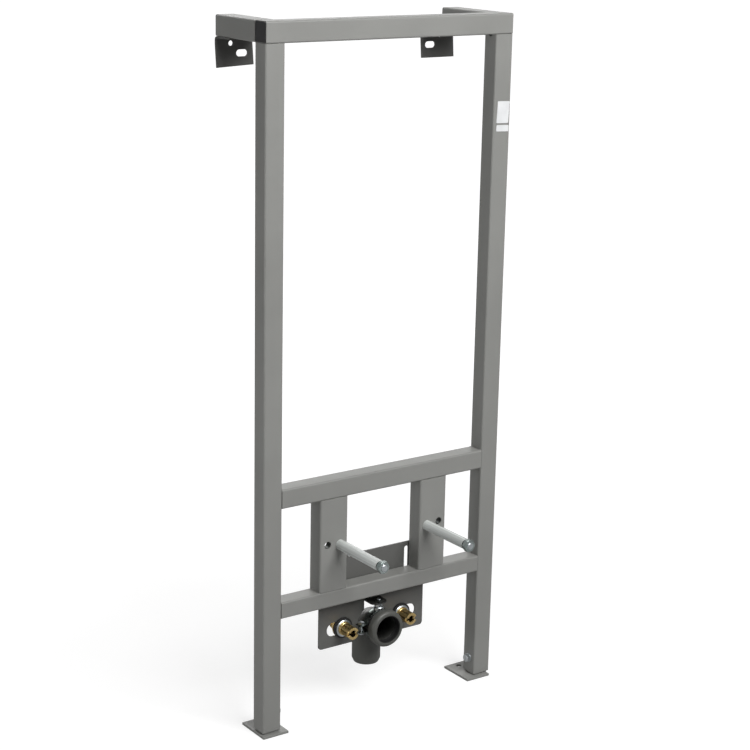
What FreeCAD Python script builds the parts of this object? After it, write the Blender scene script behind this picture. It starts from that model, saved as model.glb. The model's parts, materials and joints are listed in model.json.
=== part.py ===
import FreeCAD, Part
import math
import os
import Sketcher

doc = FreeCAD.newDocument("bidet_frame")

# Driving sizes in millimetres
SIZES = [
    ("frame_width", 480), ("frame_height", 1180), ("frame_depth", 153),
    ("post_width", 35), ("post_depth", 32), ("tube_wall", 2), ("tube_corner", 3),
    ("top_bar_height", 34), ("mid_bar_height", 33), ("mid_bar_base", 397),
    ("low_bar_height", 29), ("low_bar_base", 205),
    ("cap_flange", 1), ("cap_inset", 1.5), ("cap_plug", 14), ("cap_fit", 0.15),
    ("arm_setback", 3), ("vent_diameter", 8),
    ("bracket_width", 68), ("bracket_drop", 50), ("bracket_reach", 46), ("bracket_sheet", 2.5),
    ("bracket_bend", 6), ("bracket_skew", 2.5), ("left_bracket_rise", 3), ("bracket_hole", 8.5),
    ("bracket_hole_inset", 28), ("bracket_hole_drop", 12), ("bracket_slot_long", 21),
    ("bracket_slot_wide", 11), ("bracket_slot_inset", 48.5), ("bracket_slot_drop", 28),
    ("right_bracket_shift", 10),
    ("rod_spacing", 180), ("spare_spacing", 230), ("rod_level", 314),
    ("channel_width", 55), ("channel_depth", 30), ("channel_sheet", 2.5), ("channel_bend", 4),
    ("channel_hole", 13), ("spare_hole_rise", 3),
    ("rod_diameter", 12), ("rod_reach", 130), ("rod_tail", 18), ("rod_chamfer", 1),
    ("right_rod_turned_in", 6), ("thread_gap", 0.1),
    ("rod_nut_flats", 19), ("rod_nut_height", 10), ("end_nut_height", 9), ("rod_tip", 2),
    ("sleeve_diameter", 18), ("sleeve_bore", 12.6), ("ring_thickness", 3), ("ring_diameter", 17),
    ("foot_long", 69), ("foot_wide", 49), ("foot_sheet", 4), ("foot_front", 7),
    ("foot_overhang", 3), ("right_foot_shift", 8), ("foot_hole", 10), ("foot_hole_back", 50),
    ("foot_gap", 3), ("leg_height", 240), ("leg_gap", 0.4),
    ("clamp_level", 34), ("clamp_diameter", 8), ("clamp_flats", 13), ("clamp_head", 6),
    ("clamp_washer", 1.6), ("clamp_washer_diameter", 16), ("clamp_gap", 0.1),
    ("plate_width", 219), ("plate_bottom", 115), ("plate_top", 278), ("plate_sheet", 2.5),
    ("plate_gap", 0.3), ("plate_corner", 6),
    ("height_slot_spacing", 142), ("height_slot_wide", 8.6), ("height_slot_long", 70),
    ("height_slot_margin", 8),
    ("screw_diameter", 8), ("screw_flats", 13), ("screw_head", 5.3), ("screw_washer", 1.6),
    ("screw_washer_diameter", 20), ("screw_gap", 0.3),
    ("drain_level", 147), ("mouth_clearance", 3), ("tab_underside", 186), ("tab_width", 32),
    ("tab_nose", 8), ("tab_corner", 10),
    ("rim_reach", 19), ("collar_diameter", 65), ("collar_long", 22), ("collar_neck", 7),
    ("rim_round", 6), ("mouth_bore", 49), ("mouth_lip", 4), ("seal_groove", 60),
    ("seal_long", 10), ("seal_lip", 6), ("seal_bore", 45), ("rubber_gap", 0.1), ("seat_gap", 0.3),
    ("pipe_diameter", 50), ("pipe_wall", 2), ("bend_radius", 26), ("down_end_level", 67),
    ("band_wide", 14), ("band_sheet", 2), ("lining_sheet", 1.6),
    ("lining_lip", 1.5), ("lug_long", 14), ("lug_opening", 10),
    ("lug_screw_diameter", 6), ("lug_screw_flats", 10), ("lug_screw_head", 4), ("lug_hole_fit", 0.25),
    ("stud_diameter", 8), ("boss_flats", 13), ("stud_nut_height", 4), ("stud_end", 1),
    ("stud_base_diameter", 18), ("stud_base", 4),
    ("fitting_spacing", 122), ("fitting_level", 147), ("fitting_reach", 2), ("fitting_bore", 12),
    ("fitting_nose_diameter", 21.5), ("fitting_flange_diameter", 33), ("fitting_flange", 3),
    ("gasket_diameter", 37), ("gasket_sheet", 4),
    ("fitting_tail_long", 30), ("fitting_tail_diameter", 20.8), ("lock_nut_flats", 27),
    ("lock_nut_height", 8), ("lock_flange_diameter", 36), ("lock_flange", 2),
    ("side_slot_outer", 93), ("side_slot_inner", 46), ("side_slot_high", 25),
]

sheet = doc.addObject("Spreadsheet::Sheet", "size")
for row, (name, value) in enumerate(SIZES, start=1):
    sheet.set(f"A{row}", name)
    sheet.set(f"B{row}", str(value))
    sheet.setAlias(f"B{row}", name)
doc.recompute()

# X is counted from the middle of the frame and Y from the front of its posts, both moved
# so that the origin lies on the floor in the middle of the whole object's outline
SHIFT_X = "size.foot_overhang / 2"
SHIFT_Y = "(size.rod_reach - size.frame_depth) / 2"

POST_BOTTOM = "(size.foot_sheet + size.foot_gap)"
TOP_BAR_BASE = "(size.frame_height - size.top_bar_height)"
POST_BORE = "(size.post_width - 2 * size.tube_wall)"
POST_BORE_DEPTH = "(size.post_depth - 2 * size.tube_wall)"
PLATE_FRONT = "(size.post_depth + size.plate_gap)"
PIPE_RADIUS = "(size.pipe_diameter / 2)"
BAND_INNER = "(size.pipe_diameter / 2 + size.lining_sheet)"
BAND_OUTER = "(size.pipe_diameter / 2 + size.lining_sheet + size.band_sheet)"
# The clamp's lining sits between the collar and the start of the bend
LINING_SIDE = "(size.seat_gap + size.lining_sheet + size.rubber_gap)"
BAND_MIDDLE = f"(size.collar_long - size.rim_reach + {LINING_SIDE} + size.band_wide / 2)"
DOWN_AXIS = f"({BAND_MIDDLE} + size.band_wide / 2 + {LINING_SIDE} + size.bend_radius)"

pieces = []


def number(expression):
    """The value that an expression of the sheet's sizes has now."""
    return float(sheet.evalExpression(str(expression)))


def new_body(label, x="0", y="0", z="0"):
    """Start a piece whose own origin stands at x, y, z of the frame."""
    body = doc.addObject("PartDesign::Body", label)
    body.Label = label
    body.setExpression("Placement.Base.x", f"{x} + {SHIFT_X}")
    body.setExpression("Placement.Base.y", f"{y} + {SHIFT_Y}")
    body.setExpression("Placement.Base.z", z)
    pieces.append(body)
    return body


def new_sketch(body, role, offset=None):
    """A sketch on one of the body's own planes, moved along its normal by offset."""
    sketch = body.newObject("Sketcher::SketchObject", f"{body.Label}_sketch")
    plane = next(item for item in body.Origin.OriginFeatures if item.Role == role)
    sketch.AttachmentSupport = [(plane, "")]
    sketch.MapMode = "FlatFace"
    if offset is not None:
        sketch.setExpression("AttachmentOffset.Base.z", offset)
    return sketch


def tie(sketch, kind, places, expression):
    """Constrain places of the sketch to an expression."""
    index = sketch.addConstraint(Sketcher.Constraint(kind, *places, number(expression)))
    sketch.setExpression(f"Constraints[{index}]", str(expression))


def add_polygon(sketch, corners):
    """Straight edges through corners, each a pair of expressions."""
    first = sketch.GeometryCount
    spots = [FreeCAD.Vector(number(x), number(y), 0) for x, y in corners]
    for here, there in zip(spots, spots[1:] + spots[:1]):
        sketch.addGeometry(Part.LineSegment(here, there), False)
    for index, (x, y) in enumerate(corners):
        edge = first + index
        following = first + (index + 1) % len(corners)
        sketch.addConstraint(Sketcher.Constraint("Coincident", edge, 2, following, 1))
        tie(sketch, "DistanceX", (-1, 1, edge, 1), x)
        tie(sketch, "DistanceY", (-1, 1, edge, 1), y)


def add_rectangle(sketch, left, right, low, high):
    add_polygon(sketch, [(left, low), (right, low), (right, high), (left, high)])


def add_circle(sketch, x, y, radius):
    centre = FreeCAD.Vector(number(x), number(y), 0)
    edge = sketch.addGeometry(
        Part.Circle(centre, FreeCAD.Vector(0, 0, 1), number(radius)), False)
    tie(sketch, "DistanceX", (-1, 1, edge, 3), x)
    tie(sketch, "DistanceY", (-1, 1, edge, 3), y)
    tie(sketch, "Radius", (edge,), radius)


def add_arc(sketch, x, y, radius, start, end):
    """An arc about x, y from start to end, in radians, with its centre and radius tied."""
    centre = FreeCAD.Vector(number(x), number(y), 0)
    circle = Part.Circle(centre, FreeCAD.Vector(0, 0, 1), number(radius))
    edge = sketch.addGeometry(Part.ArcOfCircle(circle, start, end), False)
    tie(sketch, "DistanceX", (-1, 1, edge, 3), x)
    tie(sketch, "DistanceY", (-1, 1, edge, 3), y)
    tie(sketch, "Radius", (edge,), radius)
    return edge


def add_slot(sketch, x, y, long, wide, upright):
    """A slot with round ends about x, y, long from end to end."""
    run = f"({long} / 2 - {wide} / 2)"
    radius = f"{wide} / 2"
    quarter = math.pi / 2
    if upright:
        ends = [(x, f"{y} + {run}", 0), (x, f"{y} - {run}", 2 * quarter)]
    else:
        ends = [(f"{x} + {run}", y, -quarter), (f"{x} - {run}", y, quarter)]
    arcs = [add_arc(sketch, cx, cy, radius, turn, turn + 2 * quarter) for cx, cy, turn in ends]
    for one, other in (arcs, arcs[::-1]):
        start = sketch.Geometry[one].EndPoint
        end = sketch.Geometry[other].StartPoint
        edge = sketch.addGeometry(Part.LineSegment(start, end), False)
        sketch.addConstraint(Sketcher.Constraint("Tangent", one, 2, edge, 1))
        sketch.addConstraint(Sketcher.Constraint("Tangent", edge, 2, other, 1))


def add_hexagon(sketch, flats):
    """A nut's outline with two corners on the sketch's X axis."""
    corner = f"{flats} / sqrt(3)"
    half = f"{flats} / sqrt(3) / 2"
    side = f"{flats} / 2"
    add_polygon(sketch, [(corner, "0"), (half, side), (f"-{half}", side),
                         (f"-{corner}", "0"), (f"-{half}", f"-{side}"), (half, f"-{side}")])


def pad(body, sketch, length, backwards=False, both=False):
    feature = body.newObject("PartDesign::Pad", f"{body.Label}_pad")
    feature.Profile = sketch
    feature.setExpression("Length", length)
    feature.Reversed = backwards
    feature.Midplane = both
    doc.recompute()
    return feature


def pocket(body, sketch, length, backwards=False, both=False):
    """Cut a sketch into the piece and make sure that it removed something."""
    before = body.Shape.Volume
    feature = body.newObject("PartDesign::Pocket", f"{body.Label}_pocket")
    feature.Profile = sketch
    feature.setExpression("Length", length)
    feature.Reversed = backwards
    feature.Midplane = both
    doc.recompute()
    if body.Shape.Volume >= before:
        raise RuntimeError(f"{body.Label}: a cut removed nothing")
    return feature


def revolve(body, sketch, axis, cut=False):
    kind = "PartDesign::Groove" if cut else "PartDesign::Revolution"
    feature = body.newObject(kind, f"{body.Label}_turned")
    feature.Profile = sketch
    feature.ReferenceAxis = (sketch, [axis])
    feature.Angle = 360
    doc.recompute()
    return feature


def round_edges(body, radius, wanted):
    """Fillet the edges of the piece that wanted picks."""
    base = body.Tip
    names = [f"Edge{count}" for count, edge in enumerate(base.Shape.Edges, start=1)
             if wanted(edge)]
    feature = body.newObject("PartDesign::Fillet", f"{body.Label}_fillet")
    feature.Base = (base, names)
    feature.setExpression("Radius", radius)
    doc.recompute()
    return feature


def group(label, members):
    """Like pieces of one kind under one name."""
    compound = doc.addObject("Part::Compound", label)
    compound.Label = label
    compound.Links = members
    for member in members:
        pieces.remove(member)
    pieces.append(compound)


def runs_along(edge, axis):
    """Whether an edge is straight and parallel to one of the axes 0, 1 or 2."""
    if not isinstance(edge.Curve, Part.Line):
        return False
    direction = edge.Curve.Direction
    return abs(abs((direction.x, direction.y, direction.z)[axis]) - 1) < 1e-6


def make_tube(label, role, wide, high, length, place, both=False):
    """A square tube with rounded outer corners, padded from one of the planes."""
    body = new_body(label, *place)
    solid = new_sketch(body, role)
    add_rectangle(solid, f"-{wide} / 2", f"{wide} / 2", f"-{high} / 2", f"{high} / 2")
    pad(body, solid, length, backwards=(role == "XZ_Plane"), both=both)
    axis = {"XY_Plane": 2, "YZ_Plane": 0, "XZ_Plane": 1}[role]
    round_edges(body, "size.tube_corner", lambda edge: runs_along(edge, axis))
    bore = new_sketch(body, role)
    half_wide = f"({wide} / 2 - size.tube_wall)"
    half_high = f"({high} / 2 - size.tube_wall)"
    add_rectangle(bore, f"-{half_wide}", half_wide, f"-{half_high}", half_high)
    pocket(body, bore, f"2 * {length}", both=True)
    return body


def make_turned(label, place, role, axis, outline):
    """A piece turned from an outline of along, outwards pairs."""
    body = new_body(label, *place)
    sketch = new_sketch(body, role)
    add_polygon(sketch, outline)
    revolve(body, sketch, axis)
    return body


def make_ring(label, place, role, outer, inner, length, backwards=False):
    """A plain ring or sleeve padded from a plane."""
    body = new_body(label, *place)
    sketch = new_sketch(body, role)
    add_circle(sketch, "0", "0", outer)
    add_circle(sketch, "0", "0", inner)
    pad(body, sketch, length, backwards)
    return body


def make_nut(label, place, role, flats, bore, length, backwards=False):
    """A hexagon nut padded from a plane."""
    body = new_body(label, *place)
    sketch = new_sketch(body, role)
    add_hexagon(sketch, flats)
    add_circle(sketch, "0", "0", bore)
    pad(body, sketch, length, backwards)
    return body


def make_post(side, name):
    """An upright of the frame, with its foot's tapped hole and a vent notch under the top bar."""
    height = f"({TOP_BAR_BASE} - {POST_BOTTOM})"
    body = make_tube(
        f"post_{name}", "XY_Plane", "size.post_width", "size.post_depth", height,
        (f"{side} * (size.frame_width - size.post_width) / 2", "size.post_depth / 2",
         POST_BOTTOM))
    hole = new_sketch(body, "YZ_Plane")
    add_circle(hole, "0", f"size.clamp_level - {POST_BOTTOM}",
               "size.clamp_diameter / 2 + size.thread_gap")
    add_circle(hole, "0", height, "size.vent_diameter / 2")
    pocket(body, hole, "size.post_width", backwards=(side < 0))


def make_bar(label, length, base, high):
    make_tube(label, "YZ_Plane", "size.post_depth", high, length,
              ("0", "size.post_depth / 2", f"{base} + {high} / 2"), both=True)


def make_cap(side, name):
    """The black plug that closes an end of the top bar."""
    body = new_body(f"top_bar_cap_{name}",
                    f"{side} * (size.frame_width / 2 - size.cap_flange)", "size.post_depth / 2",
                    f"{TOP_BAR_BASE} + size.top_bar_height / 2")
    flange = new_sketch(body, "YZ_Plane")
    half_deep = "(size.post_depth / 2 - size.cap_inset)"
    half_high = "(size.top_bar_height / 2 - size.cap_inset)"
    add_rectangle(flange, f"-{half_deep}", half_deep, f"-{half_high}", half_high)
    pad(body, flange, "size.cap_flange", backwards=(side < 0))
    round_edges(body, "size.tube_corner - size.cap_inset", lambda edge: runs_along(edge, 0))
    plug = new_sketch(body, "YZ_Plane")
    plug_deep = "(size.post_depth / 2 - size.tube_wall - size.cap_fit)"
    plug_high = "(size.top_bar_height / 2 - size.tube_wall - size.cap_fit)"
    add_rectangle(plug, f"-{plug_deep}", plug_deep, f"-{plug_high}", plug_high)
    pad(body, plug, "size.cap_plug", backwards=(side > 0))


def make_arm(side, name):
    """A tube from the back of the top bar to the wall."""
    make_tube(
        f"arm_{name}", "XZ_Plane", "size.post_width", "size.top_bar_height",
        "(size.frame_depth - size.arm_setback - size.post_depth)",
        (f"{side} * (size.frame_width - size.post_width) / 2", "size.post_depth",
         f"{TOP_BAR_BASE} + size.top_bar_height / 2"))


def make_bracket(side, name, shift, rise):
    """An angle under the end of an arm, its lower flange a little askew, as it was bent."""
    body = new_body(f"wall_bracket_{name}", f"{side} * (size.frame_width / 2 - {shift})",
                    "size.frame_depth", TOP_BAR_BASE)
    leg = "(2 * size.bracket_bend)"
    section = new_sketch(body, "YZ_Plane")
    add_polygon(section, [
        ("0", "0"), ("0", f"-{leg}"), ("-size.bracket_sheet", f"-{leg}"),
        ("-size.bracket_sheet", "-size.bracket_sheet"),
        ("-size.bracket_reach", "-size.bracket_sheet"), ("-size.bracket_reach", "0")])
    pad(body, section, "size.bracket_width", backwards=(side > 0))
    round_edges(body, "size.bracket_bend",
                lambda edge: runs_along(edge, 0) and edge.Vertexes[0].Point.y > -1e-6
                and edge.Vertexes[0].Point.z > -1e-6)
    round_edges(body, "size.bracket_bend - size.bracket_sheet",
                lambda edge: runs_along(edge, 0)
                and abs(edge.Vertexes[0].Point.y + number("size.bracket_sheet")) < 1e-6
                and abs(edge.Vertexes[0].Point.z + number("size.bracket_sheet")) < 1e-6)
    flange = new_sketch(body, "XZ_Plane")
    inner = f"{-side} * size.bracket_width"
    add_polygon(flange, [("0", f"-{leg}"), (inner, f"-{leg}"),
                         (f"{inner} + size.bracket_skew", f"-size.bracket_drop + {rise}"),
                         ("size.bracket_skew", "-size.bracket_drop")])
    pad(body, flange, "size.bracket_sheet")
    holes = new_sketch(body, "XZ_Plane")
    add_circle(holes, f"{-side} * size.bracket_hole_inset", "-size.bracket_hole_drop",
               "size.bracket_hole / 2")
    add_slot(holes, f"({-side} * size.bracket_slot_inset)", "(-size.bracket_slot_drop)",
             "size.bracket_slot_long", "size.bracket_slot_wide", upright=False)
    pocket(body, holes, "2 * size.bracket_reach", both=True)


CHANNEL_MIDDLE = "((size.rod_spacing + size.spare_spacing) / 4)"
CHANNEL_BASE = "(size.low_bar_base + size.low_bar_height)"


def make_channel(side, name):
    """An upright channel, open at the back, that carries a rod beside a spare hole."""
    body = new_body(f"rod_channel_{name}", f"{side} * {CHANNEL_MIDDLE}", "0", CHANNEL_BASE)
    section = new_sketch(body, "XY_Plane")
    half = "(size.channel_width / 2)"
    inner = "(size.channel_width / 2 - size.channel_sheet)"
    add_polygon(section, [
        (f"-{half}", "0"), (half, "0"), (half, "size.channel_depth"),
        (inner, "size.channel_depth"), (inner, "size.channel_sheet"),
        (f"-{inner}", "size.channel_sheet"), (f"-{inner}", "size.channel_depth"),
        (f"-{half}", "size.channel_depth")])
    pad(body, section, f"size.mid_bar_base - {CHANNEL_BASE}")
    round_edges(body, "size.channel_bend",
                lambda edge: runs_along(edge, 2) and edge.Vertexes[0].Point.y < 1e-6)
    round_edges(body, "size.channel_bend - size.channel_sheet",
                lambda edge: runs_along(edge, 2)
                and abs(edge.Vertexes[0].Point.y - number("size.channel_sheet")) < 1e-6)
    holes = new_sketch(body, "XZ_Plane")
    for spacing, rise in (("size.rod_spacing", "0"), ("size.spare_spacing", "size.spare_hole_rise")):
        add_circle(holes, f"{side} * ({spacing} / 2 - {CHANNEL_MIDDLE})",
                   f"size.rod_level + {rise} - {CHANNEL_BASE}", "size.channel_hole / 2")
    pocket(body, holes, "4 * size.channel_sheet", both=True)


def make_rod_set(side, name, turned_in):
    """A threaded rod with its weld nut, sleeve, ring and end nut."""
    x = f"{side} * size.rod_spacing / 2"
    bore = "size.rod_diameter / 2 + size.thread_gap"
    make_nut(f"weld_nuts_{name}", (x, "size.channel_sheet", "size.rod_level"), "XZ_Plane",
             "size.rod_nut_flats", bore, "size.rod_nut_height", backwards=True)
    radius = "(size.rod_diameter / 2)"
    front = f"(-size.rod_reach + {turned_in})"
    back = f"(size.rod_tail + {turned_in})"
    make_turned(f"threaded_rod_{name}", (x, "0", "size.rod_level"), "YZ_Plane", "H_Axis", [
        (front, "0"), (front, f"{radius} - size.rod_chamfer"),
        (f"{front} + size.rod_chamfer", radius), (f"{back} - size.rod_chamfer", radius),
        (back, f"{radius} - size.rod_chamfer"), (back, "0")])
    nut_back = f"({front} + size.rod_tip + size.end_nut_height)"
    make_nut(f"rod_end_nut_{name}", (x, nut_back, "size.rod_level"), "XZ_Plane",
             "size.rod_nut_flats", bore, "size.end_nut_height")
    make_ring(f"rod_ring_{name}", (x, f"{nut_back} + size.ring_thickness", "size.rod_level"),
              "XZ_Plane", "size.ring_diameter / 2", "size.sleeve_bore / 2",
              "size.ring_thickness")
    make_ring(f"rod_sleeve_{name}", (x, "0", "size.rod_level"), "XZ_Plane",
              "size.sleeve_diameter / 2", "size.sleeve_bore / 2",
              f"-({nut_back} + size.ring_thickness)")


def make_foot(side, name, shift):
    """A floor plate and the leg that telescopes in the post."""
    post_x = f"{side} * (size.frame_width - size.post_width) / 2"
    body = new_body(f"foot_plate_{name}",
                    f"{side} * (size.frame_width / 2 + size.foot_overhang - {shift})", "0", "0")
    outline = new_sketch(body, "XY_Plane")
    inner = f"{-side} * size.foot_wide"
    add_polygon(outline, [("0", "-size.foot_front"), (inner, "-size.foot_front"),
                          (inner, "size.foot_long - size.foot_front"),
                          ("0", "size.foot_long - size.foot_front")])
    add_circle(outline, f"{-side} * size.foot_wide / 2", "size.foot_hole_back",
               "size.foot_hole / 2")
    pad(body, outline, "size.foot_sheet")
    make_tube(f"foot_leg_{name}", "XY_Plane", f"({POST_BORE} - 2 * size.leg_gap)",
              f"({POST_BORE_DEPTH} - 2 * size.leg_gap)", "size.leg_height",
              (post_x, "size.post_depth / 2", "size.foot_sheet"))


def make_clamp_bolt(side, name):
    """The bolt through the post's inner wall that holds the leg at its height."""
    wall_x = f"{side} * (size.frame_width / 2 - size.post_width)"
    body = new_body(f"foot_bolt_{name}", wall_x, "size.post_depth / 2", "size.clamp_level")
    washer = new_sketch(body, "YZ_Plane")
    add_circle(washer, "0", "0", "size.clamp_washer_diameter / 2")
    pad(body, washer, "size.clamp_washer", backwards=(side > 0))
    head = new_sketch(body, "YZ_Plane")
    add_hexagon(head, "size.clamp_flats")
    pad(body, head, "size.clamp_washer + size.clamp_head", backwards=(side > 0))
    shank = new_sketch(body, "YZ_Plane")
    add_circle(shank, "0", "0", "size.clamp_diameter / 2")
    pad(body, shank, "size.tube_wall + size.clamp_gap", backwards=(side < 0))


def make_plate():
    """The sheet that carries the drain and the water fittings, with its bent-out tab."""
    body = new_body("fitting_plate", "0", PLATE_FRONT, "0")
    half = "(size.plate_width / 2)"
    mouth = f"({PIPE_RADIUS} + size.mouth_clearance)"
    window = "(size.tab_width / 2)"
    outline = new_sketch(body, "XZ_Plane")
    add_rectangle(outline, f"-{half}", half, "size.plate_bottom", "size.plate_top")
    pad(body, outline, "size.plate_sheet", backwards=True)
    round_edges(body, "size.plate_corner", lambda edge: runs_along(edge, 1))

    opening = new_sketch(body, "XZ_Plane")
    corners = [(f"-{mouth}", "size.plate_bottom - size.mouth_clearance"),
               (mouth, "size.plate_bottom - size.mouth_clearance"),
               (mouth, "size.drain_level"), (window, "size.drain_level"),
               (window, "size.tab_underside"), (f"-{window}", "size.tab_underside"),
               (f"-{window}", "size.drain_level"), (f"-{mouth}", "size.drain_level")]
    add_polygon(opening, corners)
    pocket(body, opening, "4 * size.plate_sheet", both=True)
    arch = new_sketch(body, "XZ_Plane")
    add_circle(arch, "0", "size.drain_level", mouth)
    pocket(body, arch, "4 * size.plate_sheet", both=True)

    slots = new_sketch(body, "XZ_Plane")
    for side in (-1, 1):
        add_slot(slots, f"({side} * size.height_slot_spacing / 2)",
                 "(size.plate_top - size.height_slot_margin - size.height_slot_long / 2)",
                 "size.height_slot_long", "size.height_slot_wide", upright=True)
        add_slot(slots, f"({side} * (size.side_slot_outer + size.side_slot_inner) / 2)",
                 "size.fitting_level", "(size.side_slot_outer - size.side_slot_inner)",
                 "size.side_slot_high", upright=False)
    pocket(body, slots, "4 * size.plate_sheet", both=True)

    tab = new_sketch(body, "XY_Plane", "size.tab_underside")
    centre = f"({BAND_MIDDLE} - {PLATE_FRONT})"
    front = f"({centre} - size.tab_nose)"
    add_rectangle(tab, f"-{window}", window, front, "size.plate_sheet")
    add_circle(tab, "0", centre, "size.stud_diameter / 2 + size.lug_hole_fit")
    pad(body, tab, "size.plate_sheet")
    nose = number(front)
    round_edges(body, "size.tab_corner",
                lambda edge: runs_along(edge, 2) and abs(edge.Vertexes[0].Point.y - nose) < 1e-6)


def make_elbow():
    """The drain elbow: a collared mouth to the front, a tight bend and a pipe down."""
    body = new_body("drain_elbow", "0", "-size.rim_reach", "size.drain_level")
    turn_start = f"({DOWN_AXIS} + size.rim_reach - size.bend_radius)"
    drop = "(size.drain_level - size.down_end_level)"
    quarter = math.pi / 2

    path = new_sketch(body, "YZ_Plane")
    bend = add_arc(path, turn_start, "-size.bend_radius", "size.bend_radius", 0, quarter)
    high = path.Geometry[bend].EndPoint
    low = path.Geometry[bend].StartPoint
    start = FreeCAD.Vector(number("size.collar_neck"), 0, 0)
    end = FreeCAD.Vector(low.x, -number(drop), 0)
    level = path.addGeometry(Part.LineSegment(start, high), False)
    down = path.addGeometry(Part.LineSegment(low, end), False)
    path.addConstraint(Sketcher.Constraint("Tangent", level, 2, bend, 2))
    path.addConstraint(Sketcher.Constraint("Tangent", bend, 1, down, 1))
    path.addConstraint(Sketcher.Constraint("Horizontal", level))
    tie(path, "DistanceX", (-1, 1, level, 1), "size.collar_neck")
    tie(path, "DistanceY", (-1, 1, down, 2), f"-{drop}")

    outside = new_sketch(body, "XZ_Plane", "-size.collar_neck")
    add_circle(outside, "0", "0", PIPE_RADIUS)
    pipe = body.newObject("PartDesign::AdditivePipe", "drain_elbow_pipe")
    pipe.Profile = outside
    pipe.Spine = path
    doc.recompute()

    collar = new_sketch(body, "YZ_Plane")
    shoulder = "(size.collar_long - size.collar_neck)"
    add_polygon(collar, [
        ("0", "0"), ("0", "size.collar_diameter / 2"),
        (shoulder, "size.collar_diameter / 2"), ("size.collar_long", PIPE_RADIUS),
        ("size.collar_long", "0")])
    revolve(body, collar, "H_Axis")
    rim = number("size.collar_diameter / 2")
    round_edges(body, "size.rim_round",
                lambda edge: isinstance(edge.Curve, Part.Circle)
                and abs(edge.Curve.Radius - rim) < 1e-6 and abs(edge.Curve.Center.y) < 1e-6)

    inside = new_sketch(body, "XZ_Plane", "-size.collar_neck")
    add_circle(inside, "0", "0", f"{PIPE_RADIUS} - size.pipe_wall")
    bore = body.newObject("PartDesign::SubtractivePipe", "drain_elbow_bore")
    bore.Profile = inside
    bore.Spine = path
    doc.recompute()

    mouth = new_sketch(body, "YZ_Plane")
    groove_end = "(size.mouth_lip + size.seal_long)"
    add_polygon(mouth, [
        ("0", "0"), ("0", "size.mouth_bore / 2"),
        ("size.mouth_lip", "size.mouth_bore / 2"), ("size.mouth_lip", "size.seal_groove / 2"),
        (groove_end, "size.seal_groove / 2"), (groove_end, "0")])
    revolve(body, mouth, "H_Axis", cut=True)

    make_turned("drain_seal", ("0", "-size.rim_reach", "size.drain_level"), "YZ_Plane",
                "H_Axis", [
        ("size.mouth_lip + size.rubber_gap", "size.seal_groove / 2 - size.rubber_gap"),
        (f"{groove_end} - size.rubber_gap", "size.seal_groove / 2 - size.rubber_gap"),
        (f"{groove_end} - size.rubber_gap", "size.seal_bore / 2"),
        (f"{groove_end} - size.rubber_gap - size.seal_lip", "size.seal_bore / 2"),
        ("size.mouth_lip + size.rubber_gap", "size.mouth_bore / 2")])


def make_pipe_clamp():
    """The two lugged half rings that hold the elbow, their lining, screws and stud."""
    place = ("0", f"{BAND_MIDDLE} - size.band_wide / 2", "size.drain_level")
    half_gap = "(size.lug_opening / 2)"
    lug_top = "(size.lug_opening / 2 + size.band_sheet)"
    reach = f"({BAND_OUTER} + size.lug_long)"
    screw_x = f"({BAND_OUTER} + size.lug_long / 2)"
    for label, up in (("clamp_half_upper", 1), ("clamp_half_lower", -1)):
        body = new_body(label, *place)
        section = new_sketch(body, "XZ_Plane")
        inner_x = number(f"sqrt({BAND_INNER} ^ 2 - {half_gap} ^ 2)")
        outer_x = number(f"sqrt({BAND_OUTER} ^ 2 - {lug_top} ^ 2)")
        spots = [(inner_x, half_gap), (None, half_gap), (None, lug_top), (outer_x, lug_top)]
        add_half_ring(section, up, spots, reach)
        pad(body, section, "size.band_wide", backwards=True)
        holes = new_sketch(body, "XY_Plane")
        for side in (-1, 1):
            add_circle(holes, f"{side} * {screw_x}", "size.band_wide / 2",
                       "size.lug_screw_diameter / 2 + size.lug_hole_fit")
        pocket(body, holes, f"4 * {lug_top}", both=True)
    lip = f"({BAND_INNER} + size.lining_lip)"
    edge = "(size.band_wide + size.rubber_gap)"
    low = "(-size.rubber_gap)"
    make_turned("clamp_lining", place, "YZ_Plane", "H_Axis", [
        (f"{low} - size.lining_sheet", f"{PIPE_RADIUS} + size.rubber_gap"),
        (f"{edge} + size.lining_sheet", f"{PIPE_RADIUS} + size.rubber_gap"),
        (f"{edge} + size.lining_sheet", lip), (edge, lip),
        (edge, f"{BAND_INNER} - size.rubber_gap"), (low, f"{BAND_INNER} - size.rubber_gap"),
        (low, lip), (f"{low} - size.lining_sheet", lip)])
    screws = []
    for side in (-1, 1):
        body = new_body("clamp_screw", f"{side} * {screw_x}", BAND_MIDDLE,
                        "size.drain_level")
        screws.append(body)
        shank = new_sketch(body, "XY_Plane")
        add_circle(shank, "0", "0", "size.lug_screw_diameter / 2")
        pad(body, shank, f"2 * ({lug_top} + size.lug_screw_head)", both=True)
        for offset, away in ((lug_top, False), (f"-{lug_top}", True)):
            head = new_sketch(body, "XY_Plane", offset)
            add_hexagon(head, "size.lug_screw_flats")
            pad(body, head, "size.lug_screw_head", backwards=away)
    group("clamp_screws", screws)
    make_hanger()


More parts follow.
